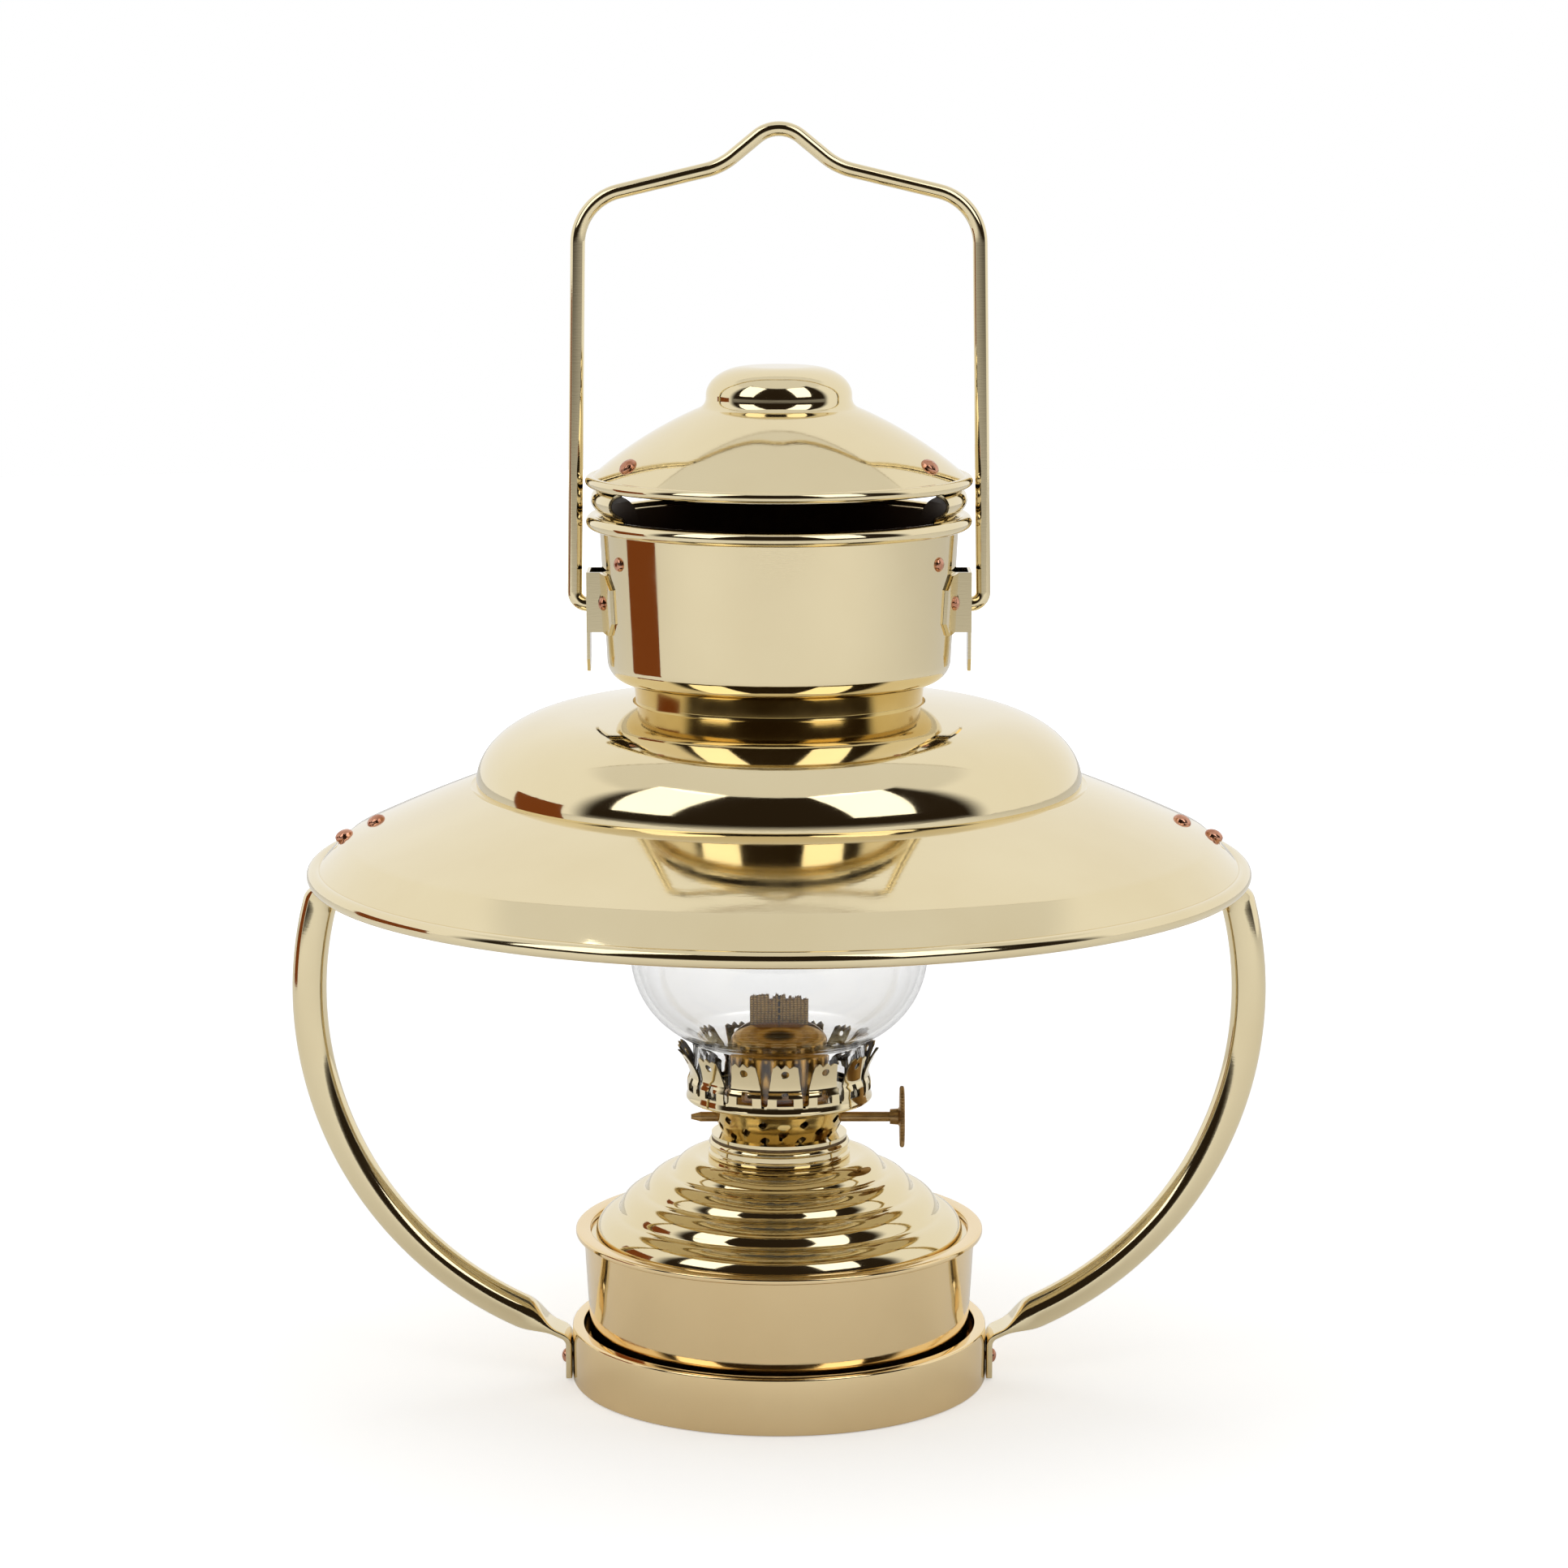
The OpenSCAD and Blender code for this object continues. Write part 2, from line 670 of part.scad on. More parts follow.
// Hood, from its top over the boss and down the cone to the rolled rim
hood_c = bow_center(hood_a, hood_b, hood_sag);
hood_cone_r = bow_radius(hood_a, hood_b, hood_sag);
function hood_point(x, depth) =
    let (v = [x - hood_c[0], sqrt(hood_cone_r ^ 2 - (x - hood_c[0]) ^ 2)])
    hood_c + v * (hood_cone_r - depth) / hood_cone_r;
function hood_tilt(x) = asin((x - hood_c[0]) / hood_cone_r);
boss_flat = 9;
boss_round = hood_rise - cone_rise - 3.8;
boss_side = [boss_r, hood_top_z - boss_round];
hood_path = concat(
    [[0, hood_top_z]],
    ellipse_arc([boss_flat, boss_side[1]], boss_r - boss_flat, boss_round, 90, 0),
    bow([boss_r, hood_a[1] + 3.1], hood_a, -0.54),
    without_first(bow(hood_a, hood_b, hood_sag, 12))
);
hood_rivet_r = hood_r - 7.9;

module hood() {
    color(brass)
        difference() {
            union() {
                spun(hood_path, sheet);
                ring_bead(hood_r - hood_rim_d / 2, hood_z, hood_rim_d);
            }
            for (a = [0, 180], s = [-1, 1])
                on_spun(a + s * support_rivet_a, hood_rivet_r, hood_point(hood_rivet_r, 0)[1], hood_tilt(hood_rivet_r))
                    rivet_hole(sheet + cut);
        }
}

module hood_rivets() {
    color(copper)
        for (a = [0, 180], s = [-1, 1])
            on_spun(a + s * support_rivet_a, hood_rivet_r, hood_point(hood_rivet_r, 0)[1], hood_tilt(hood_rivet_r))
                translate([0, 0, sheet_fit])
                    rivet(big_head_d, sheet + plate_t + 3 * sheet_fit);
}

// Hood supports: bowed plates riveted inside the drum and under the hood
support_foot_z = drum_rivet_z - support_tuck;
support_lip_z = drum_rim_z + drum_bead_r + 0.4;
support_wall_r = drum_r(drum_rim_z) - sheet - sheet_fit - 0.3;
support_top_z = hood_z - hood_rim_d / 2;
function inside_drum(z) = [drum_r(z) - sheet - sheet_fit, z];
function under_hood(x) = hood_point(x, sheet + sheet_fit);
support_bulge = (support_top_z - support_lip_z) * 0.48;
support_path = concat(
    [inside_drum(support_foot_z), inside_drum(drum_rim_z - 4)],
    bow([support_wall_r, support_lip_z], [support_wall_r, support_top_z], -support_bulge, 10),
    [[support_wall_r, under_hood(support_wall_r)[1] - 1.6]],
    [for (x = [support_wall_r - 1.2:-1:hood_rivet_r - 3.4]) under_hood(x)]
);

// Outline of a hood support seen along X, as [y, z], with a waist in the vent
module support_outline() {
    half = support_wall_r * sin(support_half);
    waist = (support_top_z - support_lip_z) * 0.75;
    mid = (support_lip_z + support_top_z) / 2;
    edge = bow([half, mid - waist], [half, mid + waist], waist * 0.9);
    polygon(concat(
        [[half, support_foot_z - cut]], edge, [[half, hood_top_z], [-half, hood_top_z]],
        [for (p = reversed(edge)) [-p[0], p[1]]], [[-half, support_foot_z - cut]]));
}

module hood_support() {
    color(brass)
        difference() {
            intersection() {
                rotate_extrude()
                    polygon(ribbon(support_path, 0, plate_t));
                rotate([90, 0, 90])
                    linear_extrude(hood_r + 10)
                        support_outline();
            }
            for (s = [-1, 1]) {
                on_spun(s * support_rivet_a, drum_r(drum_rivet_z), drum_rivet_z, 90 + drum_lean)
                    rivet_hole(sheet + plate_t + cut);
                on_spun(s * support_rivet_a, hood_rivet_r, hood_point(hood_rivet_r, 0)[1], hood_tilt(hood_rivet_r))
                    rivet_hole(sheet + plate_t + cut);
            }
        }
}

module hood_support_right() {
    hood_support();
}

module hood_support_left() {
    rotate([0, 0, 180])
        hood_support();
}

// Bail brackets: folded channels on the drum, each with a tongue below
module bracket_blank() {
    skin = [for (z = [bracket_foot, bracket_top]) [drum_r(z) + sheet_fit + plate_t, z]];
    inner = [for (z = [bracket_foot - cut, bracket_top + cut]) [drum_r(z) + sheet_fit, z]];
    reach = asin(flange_half / drum_r(pivot_z)) + 4;
    difference() {
        union() {
            translate([bracket_x, -channel_half, bracket_foot - tongue_len])
                cube([plate_t, 2 * channel_half, bracket_up + bracket_down + tongue_len]);
            for (s = [-1, 1])
                translate([bracket_x - bracket_gap - 3, s * (channel_half - plate_t / 2) - plate_t / 2, bracket_foot])
                    cube([bracket_gap + 3 + plate_t, plate_t, bracket_up + bracket_down]);
            rotate([0, 0, -reach])
                rotate_extrude(angle = 2 * reach)
                    polygon(concat(skin, [skin[1] - [4, 0], skin[0] - [4, 0]]));
        }
        rotate_extrude()
            polygon(concat(inner, [[0, inner[1][1]], [0, inner[0][1]]]));
        translate([bracket_x - bracket_gap - 6, plate_t - channel_half, bracket_foot - cut])
            cube([bracket_gap + 6, 2 * (channel_half - plate_t), bracket_up + bracket_down + 2 * cut]);
    }
}

// Outline of the bracket seen along X, as [y, z]
module bracket_outline() {
    tongue_half = channel_half - plate_t - 0.8;
    polygon([
        [-flange_half, bracket_foot + 4], [-flange_half + 4, bracket_foot],
        [-tongue_half, bracket_foot], [-tongue_half, bracket_foot - tongue_len + 4],
        [-tongue_half + 3, bracket_foot - tongue_len], [tongue_half - 3, bracket_foot - tongue_len],
        [tongue_half, bracket_foot - tongue_len + 4], [tongue_half, bracket_foot],
        [flange_half - 4, bracket_foot], [flange_half, bracket_foot + 4],
        [flange_half, bracket_top - 4], [flange_half - 4, bracket_top],
        [-flange_half + 4, bracket_top], [-flange_half, bracket_top - 4]
    ]);
}

module bail_bracket() {
    color(brass)
        difference() {
            intersection() {
                bracket_blank();
                rotate([90, 0, 90])
                    linear_extrude(2 * bracket_out)
                        bracket_outline();
            }
            translate([bracket_x - cut, 0, pivot_z])
                rotate([0, 90, 0])
                    cylinder(h = plate_t + 2 * cut, d = wire_d + 2 * bail_fit);
            for (s = [-1, 1])
                on_spun(s * bracket_rivet_a, drum_r(bracket_rivet_z) + plate_t, bracket_rivet_z, 90 + drum_lean)
                    rivet_hole(sheet + plate_t + cut);
        }
}

module bail_bracket_right() {
    bail_bracket();
}

module bail_bracket_left() {
    rotate([0, 0, 180])
        bail_bracket();
}

module bracket_rivets() {
    color(copper)
        for (a = [0, 180], s = [-1, 1])
            on_spun(a + s * bracket_rivet_a, drum_r(bracket_rivet_z) + plate_t + 2 * sheet_fit,
                bracket_rivet_z, 90 + drum_lean)
                rivet(small_head_d, sheet + plate_t + 3 * sheet_fit);
}

// Bail: one wire from hook to hook, with a raised crown to hang it by
bail_pin_x = drum_r(pivot_z) + 1.4;
crown_apex = pivot_z + bail_h - crown_bend + crown_bend / cos(crown_slope);
corner_x = leg_x - leg_lean;
corner_z = pivot_z + bail_h - 21.4;
valley_x = (crown_apex - corner_z - corner_x * tan(shoulder_slope)) / (tan(crown_slope) - tan(shoulder_slope));
bail_half_path = [
    [bail_pin_x, pivot_z], [leg_x, pivot_z], [corner_x, corner_z],
    [valley_x, crown_apex - valley_x * tan(crown_slope)]
];
bail_path = concat(
    bail_half_path, [[0, crown_apex]],
    [for (p = reversed(bail_half_path)) [-p[0], p[1]]]
);
bail_bends = [0, hook_bend, corner_bend, valley_bend, crown_bend, valley_bend, corner_bend, hook_bend, 0];

module bail() {
    color(brass)
        bent_wire(bail_path, bail_bends, wire_d);
}

// Tank: a drawn cup with a flat flange and a seat for the dome
module tank_body() {
    floor_r = tank_foot_r - sheet;
    color(brass)
        rotate_extrude()
            polygon(concat(
                [[0, tank_z], [tank_foot_r - 1.5, tank_z]],
                bow([tank_foot_r - 1.5, tank_z], [tank_foot_r, tank_z + 1.5], -0.4, 4),
                [[tank_top_r, flange_z - flange_t], [flange_r - 0.7, flange_z - flange_t]],
                bow([flange_r, flange_z - flange_t + 0.7], [flange_r, flange_z - 0.7], -0.1, 2),
                [[flange_r - 0.7, flange_z], [flange_in_r, flange_z], [flange_in_r, seat_z],
                    [seat_in_r, seat_z], [seat_in_r, seat_z - sheet], [tank_top_r - sheet, seat_z - sheet],
                    [floor_r, tank_z + sheet + 1], [floor_r - 1, tank_z + sheet], [0, tank_z + sheet]]));
}

// Ribbed dome: a row of rounded rings on a shallow cone
rib_line = bow([dome_rib_r, seat_z + sheet], [collar_seat_r, collar_z], -1.5, dome_ribs);
dome_path = concat(
    [[flange_in_r - 0.4, seat_z + sheet]],
    [for (i = [0:dome_ribs - 1]) each i == 0
        ? bow(rib_line[i], rib_line[i + 1], -rib_h, 6)
        : without_first(bow(rib_line[i], rib_line[i + 1], -rib_h, 6))],
    [[collar_bore, collar_z]]
);

module tank_dome() {
    color(brass)
        rotate_extrude()
            polygon(ribbon(dome_path, 0, sheet));
}

module tank_collar() {
    bead = 0.6;
    color(brass)
        rotate_extrude()
            polygon([[collar_bore, collar_z], [collar_r, collar_z],
                [collar_r, collar_z + 1.2], [collar_r - bead, collar_z + 1.2 + bead],
                [collar_r - bead, collar_top_z - 1.2 - bead], [collar_r, collar_top_z - 1.2],
                [collar_r - bead, collar_top_z], [collar_bore, collar_top_z]]);
}

module burner_seal() {
    color(cork)
        translate([0, 0, collar_top_z])
            difference() {
                cylinder(h = seal_t, r = collar_r - 1);
                translate([0, 0, -cut])
                    cylinder(h = seal_t + 2 * cut, r = collar_bore + 0.2);
            }
}

// Burner base: the threaded skirt and the plate that closes the tank
module wick_tube_hole(fit) {
    translate([-tube_half_w - burner_sheet - fit, -tube_half_t - burner_sheet - fit, 0])
        cube([2 * (tube_half_w + burner_sheet + fit), 2 * (tube_half_t + burner_sheet + fit), 60]);
}

module burner_base() {
    thread_r = collar_bore - thread_fit;
    skirt = collar_h + seal_t;
    color(brass)
        difference() {
            union() {
                translate([0, 0, burner_z])
                    cylinder(h = burner_flange_t, r = collar_r - 1);
                translate([0, 0, burner_z - skirt])
                    cylinder(h = skirt + burner_flange_t / 2, r = thread_r);
            }
            translate([0, 0, burner_z - skirt - cut])
                cylinder(h = skirt + cut, r = thread_r - 1.4);
            translate([0, 0, burner_z - skirt])
                wick_tube_hole(sheet_fit);
        }
}

// Perforated basket, a cone with staggered rows of air holes and the shaft's bearings
function basket_r(z) = basket_foot_r + (z - basket_z) * (basket_top_r - basket_foot_r) / basket_h;

// True where an air hole would run into the shaft's bearing
function near_shaft(a, z) =
    norm([basket_r(z) * sin(a) - shaft_y, z - shaft_z]) < (shaft_d + air_hole_d) / 2 + 0.8;

module burner_basket() {
    pitch = 360 / air_holes;
    shaft_a = atan2(shaft_y, basket_r(shaft_z));
    rows = [
        [basket_z + basket_h * 0.16, pitch / 2, air_hole_d - 0.6],
        [basket_z + basket_h * 0.4, 0, air_hole_d - 0.2],
        [basket_z + basket_h * 0.77, pitch / 2, air_hole_d]
    ];
    color(brass)
        difference() {
            rotate_extrude()
                polygon([[basket_foot_r - burner_sheet, basket_z], [basket_foot_r, basket_z],
                    [basket_top_r, basket_top_z], [basket_top_r - burner_sheet, basket_top_z]]);
            for (row = rows, i = [0:air_holes - 1])
                if (!near_shaft(shaft_a + row[1] + i * pitch, row[0]))
                    rotate([0, 0, shaft_a + row[1] + i * pitch])
                        translate([basket_foot_r - 4, 0, row[0]])
                            rotate([0, 90, 0])
                                cylinder(h = basket_top_r - basket_foot_r + 8, d = row[2]);
            translate([-basket_top_r - cut, shaft_y, shaft_z])
                rotate([0, 90, 0])
                    cylinder(h = 2 * (basket_top_r + cut), d = shaft_d + 2 * shaft_fit);
        }
}

// Gallery: a flared ring and floor with spring prongs that hold the chimney
module prong_cuts() {
    from = prong_in_r - 2;
    reach = prong_out_r + prong_flare + cut - from;
    slot_foot = floor_z + prong_slot_rise;
    translate([from, -prong_slot_w / 2, slot_foot])
        cube([reach, prong_slot_w, prong_h + 10]);
    translate([from, 0, slot_foot])
        rotate([0, 90, 0])
            cylinder(h = reach, d = prong_slot_w);
    rotate([0, 0, 180 / prongs]) {
        translate([from, -prong_notch_w / 2, floor_z + cut])
            cube([reach, prong_notch_w, prong_notch_h]);
        translate([from, -prong_stem_w / 2, floor_z + cut])
            cube([reach, prong_stem_w, prong_notch_h + prong_stem_h]);
        translate([from, 0, prong_top_z - prong_hole_drop])
            rotate([0, 90, 0])
                cylinder(h = reach, d = prong_hole_d);
    }
}

// Leaning part of a prong's skin, from the upright foot at radius r
function prong_tip(r) =
    bow([r, prong_bend_z], [r + prong_flare, prong_top_z], prong_flare * 0.2, 6);

module chimney_gallery() {
    neck = basket_top_r - burner_sheet;
    color(brass)
        difference() {
            rotate_extrude()
                polygon(concat(
                    [
                        [flame_r + 0.6, floor_z - burner_sheet], [neck, floor_z - burner_sheet],
                        [neck, basket_top_z], [basket_top_r + 0.2, basket_top_z],
                        [basket_top_r + 0.9, basket_top_z + 1.2], [gallery_r - 0.5, floor_z - 2],
                        [gallery_r, floor_z - 1.4], [gallery_r, floor_z - 0.8], [prong_out_r, floor_z]
                    ],
                    prong_tip(prong_out_r),
                    reversed(prong_tip(prong_in_r)),
                    [[prong_in_r, floor_z], [flame_r + 0.6, floor_z]]
                ));
            for (i = [0:prongs - 1])
                rotate([0, 0, i * 360 / prongs])
                    prong_cuts();
        }
}

// Flame dome with its long lens-shaped slot
flame_shoulder_z = floor_z + flame_h * 0.62;
flame_path = concat(
    ellipse_arc([0, flame_shoulder_z], flame_r, flame_top_z - flame_shoulder_z, 85, 0, 10),
    [[flame_r, floor_z + 3]],
    [[flame_r + 2.4, floor_z]]
);

module flame_dome() {
    slot_half_len = flame_r - 0.9;
    slot_half_w = flame_slot_w / 2;
    lens_r = (slot_half_len ^ 2 + slot_half_w ^ 2) / (2 * slot_half_w);
    color(brass)
        difference() {
            intersection() {
                spun(flame_path, burner_sheet);
                translate([0, 0, floor_z])
                    cylinder(h = flame_h + cut, r = flame_r + 4);
            }
            translate([0, 0, flame_shoulder_z + 0.5])
                intersection_for (s = [-1, 1])
                    translate([0, s * (lens_r - slot_half_w), 0])
                        cylinder(h = flame_h, r = lens_r);
        }
}

module wick_tube() {
    foot_z = collar_z - 2;
    window = 2 * sprocket_r + 1.4;
    color(brass)
        difference() {
            translate([-tube_half_w - burner_sheet, -tube_half_t - burner_sheet, foot_z])
                cube([2 * (tube_half_w + burner_sheet), 2 * (tube_half_t + burner_sheet), tube_top_z - foot_z]);
            translate([-tube_half_w, -tube_half_t, foot_z - cut])
                cube([2 * tube_half_w, 2 * tube_half_t, tube_top_z - foot_z + 2 * cut]);
            for (s = [-1, 1])
                translate([s * sprocket_x - sprocket_t, -tube_half_t - burner_sheet - cut, shaft_z - window / 2])
                    cube([2 * sprocket_t, burner_sheet + 1.5 * cut, window]);
        }
}

// Wick shaft with its pointed plain end, toothed wheels and thumb wheel
module wick_shaft() {
    tip = 3;
    color(brass)
        translate([0, shaft_y, shaft_z])
            rotate([0, 90, 0]) {
                translate([0, 0, tip - shaft_left])
                    cylinder(h = shaft_left - tip + shaft_right - 0.4, d = shaft_d);
                translate([0, 0, -shaft_left])
                    cylinder(h = tip, d1 = shaft_d * 0.5, d2 = shaft_d);
            }
}

module sprocket() {
    difference() {
        cylinder(h = sprocket_t, r = sprocket_r, center = true);
        cylinder(h = 3 * sprocket_t, d = shaft_d + 2 * sheet_fit, center = true);
        for (i = [0:sprocket_teeth - 1])
            rotate([0, 0, i * 360 / sprocket_teeth])
                translate([sprocket_r + 0.35, 0, 0])
                    cylinder(h = 3 * sprocket_t, r = sprocket_r * 0.22, center = true);
    }
}

module wick_sprockets() {
    color(brass)
        for (s = [-1, 1])
            translate([s * sprocket_x, shaft_y, shaft_z])
                rotate([0, 90, 0])
                    sprocket();
}

module wick_knob() {
    hub_h = 3;
    color(brass)
        translate([shaft_right, shaft_y, shaft_z])
            rotate([0, -90, 0])
                difference() {
                    union() {
                        cylinder(h = knob_t, d = knob_d);
                        cylinder(h = knob_t + hub_h, d = shaft_d + 2);
                    }
                    translate([0, 0, 0.4 - sheet_fit])
                        cylinder(h = knob_t + hub_h + cut, d = shaft_d + 2 * sheet_fit);
                }
}

module wick() {
    color(cotton)
        translate([-wick_w / 2, -wick_t / 2, wick_top_z - wick_len])
            cube([wick_w, wick_t, wick_len]);
}

// Glass chimney, from its foot over the bulge to its mouth
bulge_z = floor_z + glass_bulge_up;
glass_foot = [chimney_r, floor_z + 13.5];
glass_waist = [chimney_r + 2.6, floor_z + 17.6];
glass_wide = [glass_bulge_r, bulge_z];
glass_shoulder = [glass_bulge_r - 10.5, bulge_z + 29];
glass_neck = [glass_top_r + 3.5, bulge_z + 50];
// Bow that runs upright at one of its ends; side is 1 for a hollow and -1 for a bulge
function upright_bow(a, b, side) =
    bow(a, b, side * norm(b - a) / 2 * tan(atan2(abs(b[0] - a[0]), b[1] - a[1]) / 2));
chimney_path = concat(
    [[chimney_r, floor_z]],
    upright_bow(glass_foot, glass_waist, 1),
    without_first(upright_bow(glass_waist, glass_wide, -1)),
    without_first(upright_bow(glass_wide, glass_shoulder, -1)),
    without_first(upright_bow(glass_shoulder, glass_neck, 1)),
    without_first(bow(glass_neck, [glass_top_r, floor_z + chimney_h], 0.9))
);

module chimney() {
    color(glass)
        rotate_extrude()
            polygon(ribbon(chimney_path, 0, glass_wall));
}

base_ring();
left_arm();
right_arm();
arm_base_rivets();
shade();
shade_rim_wire();
shade_rivets();
neck_collar();
drum();
drum_rivets();
hood_support_left();
hood_support_right();
hood();
hood_rivets();
bail_bracket_left();
bail_bracket_right();
bracket_rivets();
bail();
tank_body();
tank_dome();
tank_collar();
burner_seal();
burner_base();
burner_basket();
chimney_gallery();
flame_dome();
wick_tube();
wick_shaft();
wick_sprockets();
wick_knob();
wick();
chimney();
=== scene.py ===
import bpy, bmesh, math, random
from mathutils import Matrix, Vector


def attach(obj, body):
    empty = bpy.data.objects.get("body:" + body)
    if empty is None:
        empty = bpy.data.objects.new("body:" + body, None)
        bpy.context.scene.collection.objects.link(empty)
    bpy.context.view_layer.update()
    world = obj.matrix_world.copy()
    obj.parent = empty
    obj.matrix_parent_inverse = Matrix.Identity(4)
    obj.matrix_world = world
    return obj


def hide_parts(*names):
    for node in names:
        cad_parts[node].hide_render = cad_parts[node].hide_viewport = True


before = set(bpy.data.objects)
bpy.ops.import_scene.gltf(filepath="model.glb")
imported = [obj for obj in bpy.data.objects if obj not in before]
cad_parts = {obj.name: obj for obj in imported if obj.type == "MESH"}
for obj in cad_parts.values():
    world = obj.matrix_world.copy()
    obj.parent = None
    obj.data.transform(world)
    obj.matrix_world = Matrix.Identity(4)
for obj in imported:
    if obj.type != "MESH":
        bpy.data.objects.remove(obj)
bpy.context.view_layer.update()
print("frame loaded,", len(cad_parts), "nodes")

mm = 0.001  # sizes below are in mm, meshes in metres


# plane curves, points are (radius or x, z)

def leftOf(v):
    return Vector((-v.y, v.x))


def turned(v, a):
    return Vector((v.x * math.cos(a) - v.y * math.sin(a), v.x * math.sin(a) + v.y * math.cos(a)))


def arcOf(a, b, s):
    # centre and radius of the arc from a to b that stands s to the left of the straight line
    c = (b - a).length
    r = (c * c / 4 + s * s) / (2 * s)
    return (a + b) / 2 + leftOf((b - a).normalized()) * (s - r), r


def bow(a, b, s, n):
    a, b = Vector(a), Vector(b)
    o, r = arcOf(a, b, s)
    half = math.asin(max(-1, min(1, (b - a).length / 2 / r)))
    return [o + turned(a - o, -2 * half * k / n) for k in range(n + 1)]


def uprightBow(a, b, side):
    # arc that is upright at its lower or upper end
    a, b = Vector(a), Vector(b)
    lean = math.atan2(abs(b.x - a.x), b.y - a.y)
    return bow(a, b, side * (b - a).length / 2 * math.tan(lean / 2), 24)


def ellipseArc(c, rx, rz, a0, a1, n):
    turns = [math.radians(a0 + (a1 - a0) * k / n) for k in range(n + 1)]
    return [Vector((c[0] + rx * math.cos(t), c[1] + rz * math.sin(t))) for t in turns]


def mirrored(points):
    return [(-x, z) for x, z in points[::-1]]


def joined(*runs):
    path = []
    for run in runs:
        for p in run:
            p = Vector(p)
            if not path or (p - path[-1]).length > 1e-4:
                path.append(p)
    return path


def wayAt(path, i):
    return (path[min(i + 1, len(path) - 1)] - path[max(i - 1, 0)]).normalized()


def sidePath(path, t):
    return [p + leftOf(wayAt(path, i)) * t for i, p in enumerate(path)]


def sheetLoop(path, t):
    return path + sidePath(path, t)[::-1]


def eased(path, rounds):
    # softens the creases of a path, ends kept
    for _ in range(rounds):
        path = [path[0]] + [path[i - 1] * 0.25 + path[i] * 0.5 + path[i + 1] * 0.25
                            for i in range(1, len(path) - 1)] + [path[-1]]
    return path


def rounded(points, radii, n, closed=False):
    # straight runs joined by arcs
    pts = [Vector(p) for p in points]
    out = []
    for i, p in enumerate(pts):
        r = radii[i] if isinstance(radii, (list, tuple)) else radii
        isEnd = not closed and i in (0, len(pts) - 1)
        d0 = (p - pts[i - 1]).normalized()
        d1 = (pts[(i + 1) % len(pts)] - p).normalized()
        bend = math.atan2(d0.x * d1.y - d0.y * d1.x, d0.dot(d1))
        if isEnd or r <= 0 or abs(bend) < 1e-3:
            out.append(p)
            continue
        back = r * math.tan(abs(bend) / 2)
        start = p - d0 * back
        c = p + (d1 - d0).normalized() * (r / math.cos(bend / 2))
        out += [c + turned(start - c, bend * k / n) for k in range(n + 1)]
    return out


def bezier(a, b, da, db, n):
    a, b, da, db = Vector(a), Vector(b), Vector(da), Vector(db)
    out = []
    for k in range(n + 1):
        t = k / n
        u = 1 - t
        out.append(a * u ** 3 + (a + da) * 3 * u * u * t + (b - db) * 3 * u * t * t + b * t ** 3)
    return out


def circle(n):
    turns = [2 * math.pi * k / n for k in range(n)]
    return [(math.cos(t), math.sin(t)) for t in turns]


def circleLoop(c, r):
    return [(c[0] + r * x, c[1] + r * y) for x, y in circle(28)]


# meshes

def meshFrom(bm, name, sharp):
    me = bpy.data.meshes.new(name)
    bm.to_mesh(me)
    bm.free()
    me.shade_smooth()
    me.set_sharp_from_angle(angle=math.radians(sharp))
    return me


def objectFrom(data, name):
    ob = bpy.data.objects.new(name, data)
    bpy.context.scene.collection.objects.link(ob)
    return ob


def pieceFrom(bm, name, sharp):
    bmesh.ops.recalc_face_normals(bm, faces=bm.faces)
    return objectFrom(meshFrom(bm, name, sharp), name)


def bridgeInto(bm, a, b):
    # quads between two closed rows of points
    for k in range(len(a)):
        m = (k + 1) % len(a)
        bm.faces.new((a[k], a[m], b[m], b[k]))


def plateInto(bm, a, b):
    # closed skin over two like grids of points
    rows, cols = len(a) - 1, len(a[0]) - 1
    for j in range(rows):
        for i in range(cols):
            bm.faces.new((a[j][i], a[j][i + 1], a[j + 1][i + 1], a[j + 1][i]))
            bm.faces.new((b[j][i], b[j + 1][i], b[j + 1][i + 1], b[j][i + 1]))
        for i in (0, cols):
            bm.faces.new((a[j][i], a[j + 1][i], b[j + 1][i], b[j][i]))
    for j in (0, rows):
        for i in range(cols):
            bm.faces.new((a[j][i], a[j][i + 1], b[j][i + 1], b[j][i]))


def latheInto(bm, loop, steps):
    # spins a closed loop of (r, z) in mm about the lamp axis
    rings = []
    for p in loop:
        if p[0] < 1e-4:
            rings.append([bm.verts.new((0, 0, p[1] * mm))] * steps)
            continue
        rings.append([bm.verts.new((p[0] * mm * x, p[0] * mm * y, p[1] * mm)) for x, y in circle(steps)])
    for a, b in zip(rings, rings[1:] + rings[:1]):
        for k in range(steps):
            m = (k + 1) % steps
            corners = list(dict.fromkeys((a[k], a[m], b[m], b[k])))
            if len(corners) > 2:
                bm.faces.new(corners)


def spunPiece(name, loops, steps=160, sharp=32):
    # a closed loop of (r, z) for each spun shell of the piece
    bm = bmesh.new()
    for loop in loops:
        latheInto(bm, loop, steps)
    bmesh.ops.remove_doubles(bm, verts=bm.verts, dist=1e-7)
    return pieceFrom(bm, name, sharp)


def sweptPiece(name, stations, around, sharp=40):
    # stations: centre (x, z), direction, half thickness, half width, squareness; path in the XZ plane
    bm = bmesh.new()
    rings = []
    for c, d, a, b, sq in stations:
        side = leftOf(d)
        ring = []
        for x, y in circle(around):
            u = math.copysign(abs(x) ** (2 / sq), x) * a
            w = math.copysign(abs(y) ** (2 / sq), y) * b
            ring.append(bm.verts.new(((c.x + side.x * u) * mm, w * mm, (c.y + side.y * u) * mm)))
        rings.append(ring)
    for r0, r1 in zip(rings, rings[1:]):
        bridgeInto(bm, r0, r1)
    bm.faces.new(rings[0])
    bm.faces.new(rings[-1][::-1])
    return pieceFrom(bm, name, sharp)


